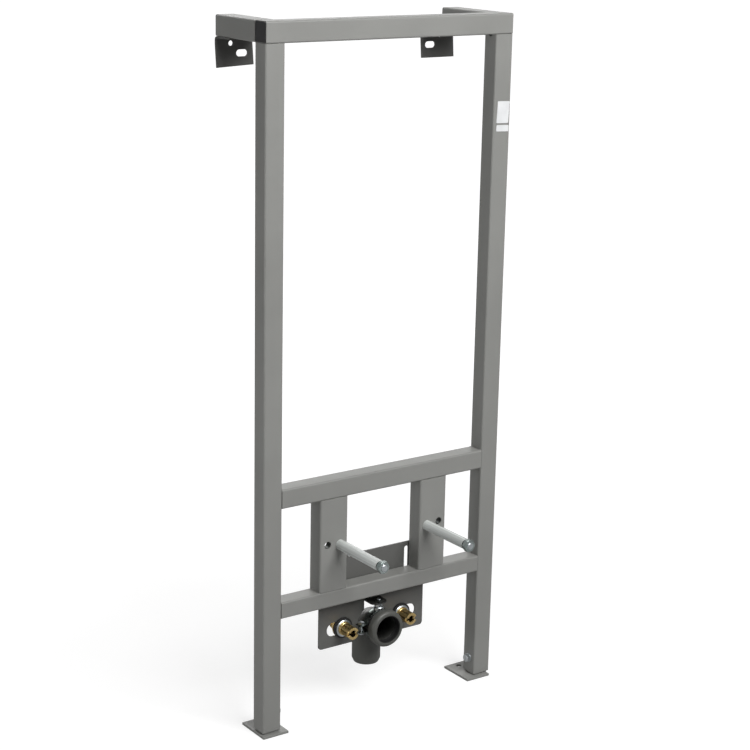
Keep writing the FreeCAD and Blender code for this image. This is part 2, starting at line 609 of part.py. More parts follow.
def add_half_ring(sketch, up, spots, reach):
    """Half of a clamp ring: two arcs joined at each side by a lug."""
    turn = math.pi
    level = [number(spot[1]) for spot in spots]
    angles = [FreeCAD.Vector(spots[0][0], level[0], 0), FreeCAD.Vector(spots[3][0], level[3], 0)]
    arcs = []
    for radius, spot in ((BAND_INNER, angles[0]), (BAND_OUTER, angles[1])):
        lean = FreeCAD.Vector(1, 0, 0).getAngle(spot)
        start, end = (lean, turn - lean) if up > 0 else (turn + lean, 2 * turn - lean)
        arcs.append(add_arc(sketch, "0", "0", radius, start, end))
    for side in (1, -1):
        first_end = (side > 0) == (up > 0)
        tag = 1 if first_end else 2
        xs = [spots[0][0], number(reach), number(reach), spots[3][0]]
        points = [FreeCAD.Vector(side * x, up * z, 0) for x, z in zip(xs, level)]
        lines = [sketch.addGeometry(Part.LineSegment(a, b), False)
                 for a, b in zip(points, points[1:])]
        sketch.addConstraint(Sketcher.Constraint("Coincident", arcs[0], tag, lines[0], 1))
        sketch.addConstraint(Sketcher.Constraint("Coincident", lines[0], 2, lines[1], 1))
        sketch.addConstraint(Sketcher.Constraint("Coincident", lines[1], 2, lines[2], 1))
        sketch.addConstraint(Sketcher.Constraint("Coincident", lines[2], 2, arcs[1], tag))
        sketch.addConstraint(Sketcher.Constraint("Horizontal", lines[0]))
        sketch.addConstraint(Sketcher.Constraint("Vertical", lines[1]))
        sketch.addConstraint(Sketcher.Constraint("Horizontal", lines[2]))
        tie(sketch, "DistanceX", (-1, 1, lines[1], 1), f"{side} * {reach}")
        tie(sketch, "DistanceY", (-1, 1, lines[0], 1), f"{up} * {spots[0][1]}")
        tie(sketch, "DistanceY", (-1, 1, lines[2], 1), f"{up} * {spots[3][1]}")


def make_hanger():
    """The boss and stud on top of the clamp, and the nut that holds them to the tab."""
    ring_top = f"(size.drain_level + {BAND_OUTER})"
    tab_top = "(size.tab_underside + size.plate_sheet)"
    body = new_body("clamp_stud", "0", BAND_MIDDLE, ring_top)
    base = new_sketch(body, "XY_Plane")
    add_circle(base, "0", "0", "size.stud_base_diameter / 2")
    pad(body, base, "size.stud_base")
    boss = new_sketch(body, "XY_Plane")
    add_hexagon(boss, "size.boss_flats")
    pad(body, boss, f"size.tab_underside - {ring_top}")
    shank = new_sketch(body, "XY_Plane")
    add_circle(shank, "0", "0", "size.stud_diameter / 2")
    pad(body, shank, f"{tab_top} + size.stud_nut_height + size.stud_end - {ring_top}")
    make_nut("clamp_stud_nut", ("0", BAND_MIDDLE, tab_top), "XY_Plane",
             "size.boss_flats", "size.stud_diameter / 2 + size.thread_gap",
             "size.stud_nut_height")


def make_water_fitting(side, name):
    """A brass outlet through a side slot, with its gasket, washer and lock nut."""
    x = f"{side} * size.fitting_spacing / 2"
    tip = "(-size.fitting_reach)"
    gasket_front = f"({PLATE_FRONT} - size.gasket_sheet)"
    body = new_body(f"water_fitting_{name}", x, "0", "size.fitting_level")
    flange = new_sketch(body, "XZ_Plane", f"-{gasket_front}")
    add_circle(flange, "0", "0", "size.fitting_flange_diameter / 2")
    pad(body, flange, "size.fitting_flange")
    nose = new_sketch(body, "XZ_Plane", f"-{gasket_front}")
    add_circle(nose, "0", "0", "size.fitting_nose_diameter / 2")
    pad(body, nose, f"{gasket_front} - {tip}")
    tail = new_sketch(body, "XZ_Plane", f"-{gasket_front}")
    add_circle(tail, "0", "0", "size.fitting_tail_diameter / 2")
    pad(body, tail, "size.fitting_tail_long", backwards=True)
    bore = new_sketch(body, "XZ_Plane")
    add_circle(bore, "0", "0", "size.fitting_bore / 2")
    pocket(body, bore, f"2 * ({gasket_front} + size.fitting_tail_long) + 1", both=True)

    bore_radius = "size.fitting_tail_diameter / 2 + size.thread_gap"
    plate_back = f"({PLATE_FRONT} + size.plate_sheet)"
    make_ring(f"fitting_gasket_{name}", (x, gasket_front, "size.fitting_level"), "XZ_Plane",
              "size.gasket_diameter / 2", bore_radius, "size.gasket_sheet", backwards=True)
    nut = make_nut(f"lock_nut_{name}", (x, plate_back, "size.fitting_level"), "XZ_Plane",
                   "size.lock_nut_flats", bore_radius,
                   "size.lock_flange + size.lock_nut_height", backwards=True)
    washer = new_sketch(nut, "XZ_Plane")
    add_circle(washer, "0", "0", "size.lock_flange_diameter / 2")
    add_circle(washer, "0", "0", bore_radius)
    pad(nut, washer, "size.lock_flange", backwards=True)


def make_plate_screw(side):
    """The screw through a height slot into the back of the low bar."""
    body = new_body("plate_screw", f"{side} * size.height_slot_spacing / 2",
                    f"{PLATE_FRONT} + size.plate_sheet + size.screw_gap",
                    "size.low_bar_base + size.low_bar_height / 2")
    washer = new_sketch(body, "XZ_Plane")
    add_circle(washer, "0", "0", "size.screw_washer_diameter / 2")
    pad(body, washer, "size.screw_washer", backwards=True)
    head = new_sketch(body, "XZ_Plane")
    add_hexagon(head, "size.screw_flats")
    pad(body, head, "size.screw_washer + size.screw_head", backwards=True)
    shank = new_sketch(body, "XZ_Plane")
    add_circle(shank, "0", "0", "size.screw_diameter / 2")
    pad(body, shank, "size.screw_gap + size.plate_sheet + size.plate_gap")
    return body


SIDES = ((-1, "left"), (1, "right"))
BETWEEN_POSTS = "(size.frame_width - 2 * size.post_width)"

for side, name in SIDES:
    make_post(side, name)
make_bar("top_bar", "(size.frame_width - 2 * size.cap_flange)", TOP_BAR_BASE,
         "size.top_bar_height")
make_bar("mid_bar", BETWEEN_POSTS, "size.mid_bar_base", "size.mid_bar_height")
make_bar("low_bar", BETWEEN_POSTS, "size.low_bar_base", "size.low_bar_height")
for side, name in SIDES:
    make_cap(side, name)
    make_arm(side, name)
    make_channel(side, name)
    make_clamp_bolt(side, name)
    make_water_fitting(side, name)
group("plate_screws", [make_plate_screw(side) for side, name in SIDES])
make_bracket(-1, "left", "0", "size.left_bracket_rise")
make_bracket(1, "right", "size.right_bracket_shift", "0")
make_rod_set(-1, "left", "0")
make_rod_set(1, "right", "size.right_rod_turned_in")
make_foot(-1, "left", "0")
make_foot(1, "right", "size.right_foot_shift")
make_plate()
make_elbow()
make_pipe_clamp()

doc.recompute()
failed = [item.Name for item in doc.Objects
          if any(state in item.State for state in ("Invalid", "Error"))]
if failed:
    raise RuntimeError(f"objects that did not build: {failed}")
for piece in pieces:
    if piece.Shape.isNull() or not piece.Shape.isValid():
        raise RuntimeError(f"{piece.Label}: no valid shape")

os.makedirs("parts", exist_ok=True)
for piece in pieces:
    piece.Shape.exportStep(f"parts/{piece.Label}.step")
print(f"{len(pieces)} pieces written")
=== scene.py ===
# %% [markdown]
# # A bidet installation frame
# A steel frame that disappears behind a bathroom wall. The tubes, brackets, rods and pipes come from
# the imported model, in metres, and already stand in their right places. What is missing is the look:
# paint, zinc, brass, plastic and rubber, the threads and chamfers of the small parts, the welds, and
# the light. Every cell below adds one of them and prints what it made.

# %% Load the frame
import json
import math

import bmesh
import bpy
from mathutils import Matrix, Vector


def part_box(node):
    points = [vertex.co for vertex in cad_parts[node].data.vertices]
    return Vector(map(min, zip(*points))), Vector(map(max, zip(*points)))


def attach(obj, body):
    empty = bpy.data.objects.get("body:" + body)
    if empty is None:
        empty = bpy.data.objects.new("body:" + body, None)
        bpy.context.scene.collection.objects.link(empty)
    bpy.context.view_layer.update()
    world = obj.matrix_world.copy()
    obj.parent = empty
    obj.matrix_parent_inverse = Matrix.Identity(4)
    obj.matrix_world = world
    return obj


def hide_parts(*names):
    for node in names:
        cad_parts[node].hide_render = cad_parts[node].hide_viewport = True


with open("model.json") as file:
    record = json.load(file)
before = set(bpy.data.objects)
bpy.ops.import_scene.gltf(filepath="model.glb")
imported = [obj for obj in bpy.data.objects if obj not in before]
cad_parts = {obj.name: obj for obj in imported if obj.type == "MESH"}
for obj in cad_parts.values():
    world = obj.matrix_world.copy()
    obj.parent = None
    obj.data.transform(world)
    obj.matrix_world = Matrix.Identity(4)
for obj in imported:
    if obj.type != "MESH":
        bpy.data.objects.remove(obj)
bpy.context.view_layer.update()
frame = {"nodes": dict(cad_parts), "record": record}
scene = bpy.context.scene
MM = 0.001
SIDES = (("left", -1), ("right", 1))

# %% [markdown]
# ## The camera
# The picture is taken from the left, a little above the middle of the frame, with a long lens, so that
# the upright lines stay nearly parallel. A camera looks along its own -Z axis, as a lamp shines, so
# `to_track_quat` points that axis from its place at the spot it aims at. A small roll finishes it.

# %% Place the camera
FILM_WIDTH = 36.0
PICTURE_WIDTH = 750
FOCAL_PIXELS = 1850.8
CAMERA_PLACE = (-1.7259, -2.4186, 1.4008)
CAMERA_AIM = (-0.0173, -0.0015, 0.5954)
CAMERA_ROLL = math.radians(1.16)


def aimed(place, aim):
    """Where a camera or lamp stands and how it is turned, as one matrix."""
    direction = (Vector(aim) - Vector(place)).normalized()
    turn = direction.to_track_quat("-Z", "Y").to_matrix().to_4x4()
    return Matrix.Translation(place) @ turn


camera = bpy.data.objects.new("camera", bpy.data.cameras.new("camera"))
camera.data.sensor_width = FILM_WIDTH
camera.data.lens = FOCAL_PIXELS * FILM_WIDTH / PICTURE_WIDTH
camera.matrix_world = aimed(CAMERA_PLACE, CAMERA_AIM) @ Matrix.Rotation(CAMERA_ROLL, 4, "Z")
scene.collection.objects.link(camera)
scene.camera = camera
print("lens:", round(camera.data.lens, 1), "mm")

# %% [markdown]
# ## Node helpers
# A material is a small network of nodes. These helpers add a node, set its values and join sockets, so
# that each material below reads as a list of what it is made of.

# %% Helpers for node trees
def add_node(tree, kind, **values):
    """A node of that kind; each value goes to the socket or property of that name."""
    node = tree.nodes.new(kind)
    for name, value in values.items():
        socket = node.inputs.get(name.replace("_", " "))
        if socket is not None:
            socket.default_value = value
        else:
            setattr(node, name, value)
    return node


def join(tree, output, socket):
    tree.links.new(output, socket)


def ramp(tree, source, low, high, low_value=0.0, high_value=1.0):
    """Source rescaled from low..high to low_value..high_value, and held there outside."""
    node = add_node(tree, "ShaderNodeMapRange", From_Min=low, From_Max=high,
                    To_Min=low_value, To_Max=high_value)
    join(tree, source, node.inputs["Value"])
    return node.outputs["Result"]


def product(tree, first, second):
    """Two sockets multiplied."""
    node = add_node(tree, "ShaderNodeMath", operation="MULTIPLY")
    join(tree, first, node.inputs[0])
    join(tree, second, node.inputs[1])
    return node.outputs["Value"]


def mix_colours(tree, share, first, second):
    """First and second are colours or sockets; share, a socket, is how much of the second."""
    node = add_node(tree, "ShaderNodeMix", data_type="RGBA")
    for name, value in (("Factor_Float", share), ("A_Color", first), ("B_Color", second)):
        socket = next(item for item in node.inputs if item.identifier == name)
        if isinstance(value, bpy.types.NodeSocket):
            join(tree, value, socket)
        else:
            socket.default_value = value
    return next(item for item in node.outputs if item.identifier == "Result_Color")


def noise_ramp(tree, low, high, **values):
    """Noise over Object coordinates, rescaled from low..high to 0..1."""
    place = add_node(tree, "ShaderNodeTexCoord")
    noise = add_node(tree, "ShaderNodeTexNoise", **values)
    join(tree, place.outputs["Object"], noise.inputs["Vector"])
    return ramp(tree, noise.outputs["Fac"], low, high)


def new_group(name, inputs, outputs):
    """An empty node group with named float or vector sockets."""
    kinds = {"value": "NodeSocketFloat", "vector": "NodeSocketVector"}
    tree = bpy.data.node_groups.new(name, "ShaderNodeTree")
    for socket_name, kind, default in inputs:
        socket = tree.interface.new_socket(socket_name, in_out="INPUT", socket_type=kinds[kind])
        socket.default_value = default
    for socket_name, kind in outputs:
        tree.interface.new_socket(socket_name, in_out="OUTPUT", socket_type=kinds[kind])
    return tree, tree.nodes.new("NodeGroupInput"), tree.nodes.new("NodeGroupOutput")


def place_group(tree, group, **values):
    """The group inside a material, with its own values."""
    node = tree.nodes.new("ShaderNodeGroup")
    node.node_tree = group
    for name, value in values.items():
        node.inputs[name].default_value = value
    return node


print("node helpers ready")

# %% [markdown]
# ## Surface effects that several materials share
# Four things are shared. A fine grain, worn or rounded edges and a little dust on what faces up make a
# surface look real up close, and painted shade darkens the inside of bores, where little light gets in.
# Each is a node group with its own sliders, made once and placed in the materials with other values.
# The patterns read Object coordinates, which are metres here.

# %% The grain group
def make_grain_group():
    """Cloudy variation for colour and roughness, and a height for the fine texture of the skin."""
    tree, source, result = new_group(
        "grain",
        [("cloud_scale", "value", 9.0), ("skin_scale", "value", 900.0),
         ("stretch", "vector", (1, 1, 1))],
        [("cloud", "value"), ("skin", "value")])
    place = add_node(tree, "ShaderNodeTexCoord")
    stretched = add_node(tree, "ShaderNodeVectorMath", operation="MULTIPLY")
    join(tree, place.outputs["Object"], stretched.inputs[0])
    join(tree, source.outputs["stretch"], stretched.inputs[1])
    for scale, detail, name in (("cloud_scale", 4.0, "cloud"), ("skin_scale", 2.0, "skin")):
        noise = add_node(tree, "ShaderNodeTexNoise", Detail=detail, Roughness=0.55)
        join(tree, stretched.outputs["Vector"], noise.inputs["Vector"])
        join(tree, source.outputs[scale], noise.inputs["Scale"])
        join(tree, noise.outputs["Fac"], result.inputs[name])
    return tree


grain_group = make_grain_group()
print("grain group:", len(grain_group.nodes), "nodes")

# %% The edge wear group
def make_edge_group():
    """A broken mask along sharp edges, which are where a rounded normal leaves the flat one."""
    tree, source, result = new_group(
        "edge_wear", [("width", "value", 0.001), ("amount", "value", 1.0)],
        [("mask", "value"), ("normal", "vector")])
    rounded = add_node(tree, "ShaderNodeBevel", samples=6)
    join(tree, source.outputs["width"], rounded.inputs["Radius"])
    flat = add_node(tree, "ShaderNodeNewGeometry")
    match = add_node(tree, "ShaderNodeVectorMath", operation="DOT_PRODUCT")
    join(tree, rounded.outputs["Normal"], match.inputs[0])
    join(tree, flat.outputs["True Normal"], match.inputs[1])
    turned_away = ramp(tree, match.outputs["Value"], 0.985, 0.86)
    broken = noise_ramp(tree, 0.42, 0.62, Scale=160.0, Detail=4.0)
    mask = product(tree, product(tree, turned_away, broken), source.outputs["amount"])
    join(tree, mask, result.inputs["mask"])
    join(tree, rounded.outputs["Normal"], result.inputs["normal"])
    return tree


edge_group = make_edge_group()
print("edge group:", len(edge_group.nodes), "nodes")

# %% The dust group
def make_dust_group():
    """A mask on what faces up, in soft patches."""
    tree, source, result = new_group("dust", [("amount", "value", 0.3)], [("mask", "value")])
    shape = add_node(tree, "ShaderNodeNewGeometry")
    parts = add_node(tree, "ShaderNodeSeparateXYZ")
    join(tree, shape.outputs["True Normal"], parts.inputs["Vector"])
    upward = ramp(tree, parts.outputs["Z"], 0.3, 0.95)
    patches = noise_ramp(tree, 0.35, 0.7, Scale=38.0, Detail=6.0, Roughness=0.65)
    mask = product(tree, product(tree, upward, patches), source.outputs["amount"])
    join(tree, mask, result.inputs["mask"])
    return tree


dust_group = make_dust_group()
print("dust group:", len(dust_group.nodes), "nodes")

# %% The painted bore shade group
def make_painted_bore_shade_group():
    """A mask for painted shade: 0 deep inside a bore or groove, where shade falls, and 1 outside."""
    tree, source, result = new_group("painted_bore_shade", [("reach", "value", 0.03)], [("mask", "value")])
    shade = add_node(tree, "ShaderNodeAmbientOcclusion", samples=8, only_local=True)
    join(tree, source.outputs["reach"], shade.inputs["Distance"])
    join(tree, ramp(tree, shade.outputs["AO"], 0.2, 0.7), result.inputs["mask"])
    return tree


painted_bore_shade_group = make_painted_bore_shade_group()
print("hollow group:", len(painted_bore_shade_group.nodes), "nodes")

# %% [markdown]
# ## Powder coat
# The tubes are sprayed with a grey powder and baked. The skin is satin, with a faint orange-peel
# ripple, and the coat thins along sharp edges, where it looks a little lighter. The sheet-metal
# brackets and the plate take the same recipe with darker greys, which are painted shade: the brackets
# sit under the arms and the plate behind the low bar. The plate's tab, bent forward under the low bar,
# lies in its shadow, so the plate's coat is painted black as shade at the places that stand in front
# of the sheet.

# %% Powder coat
def new_material(name):
    """A material, its node tree, and in it a Principled shader joined to the output."""
    material = bpy.data.materials.new(name)
    material.use_nodes = True
    tree = material.node_tree
    tree.nodes.clear()
    output = tree.nodes.new("ShaderNodeOutputMaterial")
    shader = tree.nodes.new("ShaderNodeBsdfPrincipled")
    join(tree, shader.outputs["BSDF"], output.inputs["Surface"])
    return material, tree, shader


def skin_normal(tree, shader, height, distance, edge_width):
    """Bump from a height, on a normal that is rounded at the sharp edges."""
    rounded = place_group(tree, edge_group, width=edge_width)
    bump = add_node(tree, "ShaderNodeBump", Strength=1.0, Distance=distance)
    join(tree, height, bump.inputs["Height"])
    join(tree, rounded.outputs["normal"], bump.inputs["Normal"])
    join(tree, bump.outputs["Normal"], shader.inputs["Normal"])
    return rounded


CLOUDS = (0.3, 0.7)


def uneven(tree, grain, low=0.0, high=1.0):
    """The grain's clouds, spread from low to high."""
    return ramp(tree, grain.outputs["cloud"], *CLOUDS, low, high)


COAT_ROUGHNESS = 0.42
COAT_SPREAD = 0.05
WORN_EDGE = 0.45
# Black painted shade for the plate's tab, which lies in the low bar's shadow, and the width of its soft
# edge.
TAB_PAINTED_SHADE = (0.022, 0.022, 0.021, 1.0)
TAB_PAINTED_SHADE_FADE = 1.5 * MM
PALE_DUST = (0.5, 0.49, 0.46, 1.0)


def shades(colour, spread):
    """A darker and a lighter shade of a colour."""
    darker = tuple((1 - spread) * value for value in colour) + (1.0,)
    lighter = tuple(min(1.0, (1 + spread) * value) for value in colour) + (1.0,)
    return darker, lighter


def powder_coat(name, colour, painted_shade_before=None):
    """Satin powder coat: a clouded grey, orange peel, light edges, a little dust, and black painted
    shade in front of a given plane.
    """
    material, tree, shader = new_material(name)
    grain = place_group(tree, grain_group, cloud_scale=7.0, skin_scale=650.0)
    edge = shades(colour, WORN_EDGE)[1]
    clouded = mix_colours(tree, uneven(tree, grain), *shades(colour, COAT_SPREAD))
    rounded = skin_normal(tree, shader, grain.outputs["skin"], 0.00009, 0.0009)
    worn = mix_colours(tree, ramp(tree, rounded.outputs["mask"], 0.0, 1.0, 0.0, 0.5), clouded, edge)
    dusty = place_group(tree, dust_group, amount=0.12)
    coat = mix_colours(tree, dusty.outputs["mask"], worn, PALE_DUST)
    # Painted shade: the coat turns black in front of the given plane, on the tab under the low bar.
    if painted_shade_before is not None:
        place = add_node(tree, "ShaderNodeTexCoord")
        parts = add_node(tree, "ShaderNodeSeparateXYZ")
        join(tree, place.outputs["Object"], parts.inputs["Vector"])
        behind = ramp(tree, parts.outputs["Y"], painted_shade_before - TAB_PAINTED_SHADE_FADE, painted_shade_before)
        coat = mix_colours(tree, behind, TAB_PAINTED_SHADE, coat)
    join(tree, coat, shader.inputs["Base Color"])
    polish = uneven(tree, grain, COAT_ROUGHNESS - 0.05, COAT_ROUGHNESS + 0.07)
    join(tree, polish, shader.inputs["Roughness"])
    shader.inputs["Specular IOR Level"].default_value = 0.45
    return material


grey_coat = powder_coat("grey_powder_coat", (0.262, 0.263, 0.251))
# Darker greys as painted shade: the brackets sit under the arms, the plate behind the low bar.
bracket_painted_shade_coat = powder_coat("bracket_painted_shade_coat", (0.112, 0.112, 0.107))
sheet_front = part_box("fitting_gasket_left")[1][1]
plate_painted_shade_coat = powder_coat("plate_painted_shade_coat", (0.125, 0.125, 0.119), painted_shade_before=sheet_front - 1 * MM)
print("powder coats ready")

# %% [markdown]
# ## Metals
# The rods, nuts and screws are zinc plated: bright, slightly blue, with cloudy patches from the bath.
# The rods' end nuts are a shade darker, and the clamp's bands much darker. The nut on the tab and the
# nuts behind the spare holes are painted near black, as shade, since they sit where little light
# reaches.
# The water outlets are turned brass. All are fully metallic, so their look comes from what they
# reflect, and the roughness is what varies. Deep in a bore the brass is painted nearly black, as shade.

# %% Zinc and brass
def plated_metal(name, colour, tint, roughness, painted_bore_shade=0.0):
    """A metal whose colour drifts towards a tint and whose polish is uneven."""
    material, tree, shader = new_material(name)
    grain = place_group(tree, grain_group, cloud_scale=60.0, skin_scale=420.0)
    shader.inputs["Metallic"].default_value = 1.0
    cloud = ramp(tree, grain.outputs["cloud"], 0.35, 0.65)
    clouded = mix_colours(tree, cloud, colour + (1.0,), tint + (1.0,))
    # Painted shade: deep in a bore the colour turns nearly black.
    if painted_bore_shade:
        outside = place_group(tree, painted_bore_shade_group, reach=painted_bore_shade)
        deep = tuple(0.06 * value for value in tint) + (1.0,)
        clouded = mix_colours(tree, outside.outputs["mask"], deep, clouded)
    join(tree, clouded, shader.inputs["Base Color"])
    join(tree, uneven(tree, grain, roughness - 0.06, roughness + 0.1), shader.inputs["Roughness"])
    skin_normal(tree, shader, grain.outputs["skin"], 0.00003, 0.0003)
    return material


zinc = plated_metal("zinc_plate", (0.68, 0.72, 0.75), (0.52, 0.55, 0.56), 0.3)
nut_zinc = plated_metal("nut_zinc", (0.52, 0.58, 0.57), (0.30, 0.36, 0.35), 0.26)
brass = plated_metal("brass", (0.80, 0.61, 0.29), (0.64, 0.46, 0.19), 0.27, painted_bore_shade=14 * MM)
band_zinc = plated_metal("band_zinc", (0.16, 0.18, 0.17), (0.10, 0.12, 0.11), 0.28)
# Near-black zinc is painted shade, for nuts that sit where little light reaches.
zinc_painted_shade = plated_metal("zinc_painted_shade", (0.075, 0.080, 0.078), (0.05, 0.055, 0.05), 0.42)
print("metals ready")

# %% [markdown]
# ## Plastics and rubber
# The end caps are textured black plastic, the drain elbow is smooth grey pipe plastic, and the seals
# are dull black rubber. The sleeves on the rods are milky and let some light through. They are drawn
# tube, so their pattern is stretched into streaks that run along them.

# %% Plastics and rubber
GREY_DUST = (0.4, 0.39, 0.37, 1.0)


def moulded(name, colour, roughness, skin_scale=1200.0, peel=0.00004, see_through=0.0, dust=0.08,
            painted_bore_shade=0.0, stretch=(1.0, 1.0, 1.0), contrast=0.1):
    """A moulded plastic or rubber with a fine skin and a trace of dust."""
    material, tree, shader = new_material(name)
    grain = place_group(tree, grain_group, cloud_scale=22.0, skin_scale=skin_scale, stretch=stretch)
    clouded = mix_colours(tree, uneven(tree, grain), *shades(colour, contrast))
    dusty = place_group(tree, dust_group, amount=dust)
    skin = mix_colours(tree, dusty.outputs["mask"], clouded, GREY_DUST)
    # Painted shade: deep in a bore the colour turns nearly black.
    if painted_bore_shade:
        outside = place_group(tree, painted_bore_shade_group, reach=painted_bore_shade)
        deep = tuple(0.1 * value for value in colour) + (1.0,)
        skin = mix_colours(tree, outside.outputs["mask"], deep, skin)
    join(tree, skin, shader.inputs["Base Color"])
    join(tree, uneven(tree, grain, roughness - 0.05, roughness + 0.08), shader.inputs["Roughness"])
    skin_normal(tree, shader, grain.outputs["skin"], peel, 0.0005)
    shader.inputs["Transmission Weight"].default_value = see_through
    return material


black_plastic = moulded("black_plastic", (0.009, 0.009, 0.010), 0.6, dust=0.02)
# The grey plastic is painted dark as shade inside its bores, up to 60 mm in.
grey_plastic = moulded("grey_plastic", (0.084, 0.086, 0.078), 0.4, painted_bore_shade=60 * MM)
sleeve_plastic = moulded("sleeve_plastic", (0.74, 0.77, 0.75), 0.22, see_through=0.12, dust=0.0,
                         stretch=(12.0, 0.05, 12.0), contrast=0.22)
pip_plastic = moulded("pip_plastic", (0.88, 0.90, 0.88), 0.3)
black_rubber = moulded("black_rubber", (0.012, 0.012, 0.012), 0.6, dust=0.01)
label_paper = moulded("label_paper", (0.76, 0.77, 0.78), 0.46, skin_scale=2400.0, peel=0.00002)
print("plastics ready")

# %% [markdown]
# ## Paint the imported pieces
# A imported node keeps its mesh. Only what is in its material slot changes. The record names a slot for
# each node, so one table of slots paints nearly everything, and the two wall brackets get a darker
# grey, which is painted shade.

# %% Assign the materials
FINISH_OF_SLOT = {
    "grey_powder_coat": grey_coat, "dark_sheet": plate_painted_shade_coat, "zinc_plate": zinc, "brass": brass,
    "black_plastic": black_plastic, "grey_plastic": grey_plastic, "white_plastic": sleeve_plastic,
    "black_rubber": black_rubber}
# Nodes whose darker grey is painted shade, in place of their slot's coat.
PAINTED_SHADE_FINISH = {"wall_bracket_left": bracket_painted_shade_coat, "wall_bracket_right": bracket_painted_shade_coat}


def paint(piece, material):
    piece.data.materials.clear()
    piece.data.materials.append(material)


for subpart in frame["record"]["subparts"]:
    node = subpart["node"]
    paint(frame["nodes"][node], PAINTED_SHADE_FINISH.get(node, FINISH_OF_SLOT[subpart["material_slot"]]))

# %% [markdown]
# ## How the small parts are made
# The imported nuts, rods and screws are plain prisms and cylinders. Up close the real ones have turned
# chamfers, threads and rounded edges, so each gets a new mesh that stands in the same place. Each mesh
# starts at the origin and points up along Z, which keeps the making simple, and is then turned and
# moved once.

# %% Helpers for small parts
SEGMENTS = 48
SEAM = 0.000005
TO_FRONT = Matrix.Rotation(math.radians(90), 4, "X")
TO_BACK = Matrix.Rotation(math.radians(-90), 4, "X")


def middle(node):
    """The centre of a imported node's box."""
    low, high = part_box(node)
    return (Vector(low) + Vector(high)) / 2


def extent(node):
    """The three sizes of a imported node's box."""
    low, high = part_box(node)
    return Vector(high) - Vector(low)


def at_front(node):
    """The middle of the node's front face."""
    return Vector((middle(node).x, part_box(node)[0][1], middle(node).z))


print("left rod nut:", [round(1000 * size, 1) for size in extent("rod_end_nut_left")], "mm")

# %% From a form to a piece
def place_form(form, place, turn=Matrix.Identity(4)):
    """Turn a form about the origin, then move it to its place."""
    bmesh.ops.transform(form, matrix=Matrix.Translation(place) @ turn, verts=form.verts)


def merge(form):
    """Join the points that lie on top of each other."""
    bmesh.ops.remove_doubles(form, verts=form.verts, dist=SEAM)


def everything(form):
    """All the points, edges and faces of a form."""
    return form.verts[:] + form.edges[:] + form.faces[:]


def add_form(whole, form):
    """Add a form to a larger one; the added form isn't needed any more."""
    mesh = bpy.data.meshes.new("added")
    form.to_mesh(mesh)
    form.free()
    whole.from_mesh(mesh)
    bpy.data.meshes.remove(mesh)


SHARP_EDGE = math.radians(32)


def object_of(name, form):
    """Make the form a mesh object in the scene."""
    mesh = bpy.data.meshes.new(name)
    form.to_mesh(mesh)
    form.free()
    made = bpy.data.objects.new(name, mesh)
    scene.collection.objects.link(made)
    return made


def finish_piece(name, form, material, body, nodes=()):
    """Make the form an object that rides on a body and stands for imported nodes."""
    merge(form)
    bmesh.ops.recalc_face_normals(form, faces=form.faces)
    piece = object_of(name, form)
    piece.data.shade_smooth()
    piece.data.set_sharp_from_angle(angle=SHARP_EDGE)
    paint(piece, material)
    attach(piece, body)
    if nodes:
        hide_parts(*nodes)
    print(name, len(piece.data.polygons), "faces")


print("edges over", round(math.degrees(SHARP_EDGE)), "degrees are shaded sharp")

# %% Helpers for turned forms
def turn_profile(form, points, steps=SEGMENTS, closed=True):
    """Spin a line of radius, height points once about Z."""
    verts = [form.verts.new((radius, 0.0, height)) for radius, height in points]
    pairs = list(zip(verts, verts[1:])) + ([(verts[-1], verts[0])] if closed else [])
    edges = [form.edges.new(pair) for pair in pairs]
    bmesh.ops.spin(form, geom=verts + edges, axis=(0, 0, 1), angle=2 * math.pi, steps=steps,
                   use_merge=True)


SOFT_EDGE = math.radians(30)


def soften(form, width):
    """Round every edge that is sharper than SOFT_EDGE."""
    edges = [edge for edge in form.edges
             if len(edge.link_faces) == 2 and edge.calc_face_angle() > SOFT_EDGE]
    bmesh.ops.bevel(form, geom=edges, offset=width, segments=2, profile=0.5, affect="EDGES",
                    material=-1, clamp_overlap=True)


print("turned forms ready")

# %% [markdown]
# ## Hexagons
# A nut is a hexagonal bar cut across and turned to a cone at its ends, which leaves the curved edges
# that catch the light. Here an outline is spun in 48 steps, and each point at the side is pushed out to
# the six flats, and as far along as the 30 degree cone is there. That gives the curved edges by itself.

# %% Hexagon with turned ends
CONE_SLOPE = math.tan(math.radians(30))
CONE_START = 0.96
BORE_MOUTH = 1.08
CORNER_STEP = math.radians(60)


def add_hexagon(form, flats, height, bore=0.0, base=0.0):
    """A nut with a bore, or a bolt head without one, from base upwards."""
    top = base + height
    cone_radius = CONE_START * flats / 2
    sides = [(cone_radius, base), (flats / 2, base), (flats / 2, top), (cone_radius, top)]
    rim = BORE_MOUTH * bore
    inside = [(rim, top), (bore, top - rim + bore), (bore, base + rim - bore), (rim, base)]
    outline = sides + inside if bore else [(0.0, base)] + sides + [(0.0, top)]
    here = set(form.verts)
    turn_profile(form, outline, closed=bool(bore))
    for vert in set(form.verts) - here:
        if abs(vert.co.xy.length - flats / 2) < SEAM:
            turn = math.atan2(vert.co.y, vert.co.x) % CORNER_STEP - CORNER_STEP / 2
            reach = flats / 2 / math.cos(turn)
            inwards = 1 if vert.co.z < base + height / 2 else -1
            vert.co.x, vert.co.y = (value * reach / vert.co.xy.length for value in vert.co.xy)
            vert.co.z += inwards * max(0.0, reach - cone_radius) * CONE_SLOPE


print("corner of a 19 mm hexagon:", round(19 / math.cos(CORNER_STEP / 2), 2), "mm across")

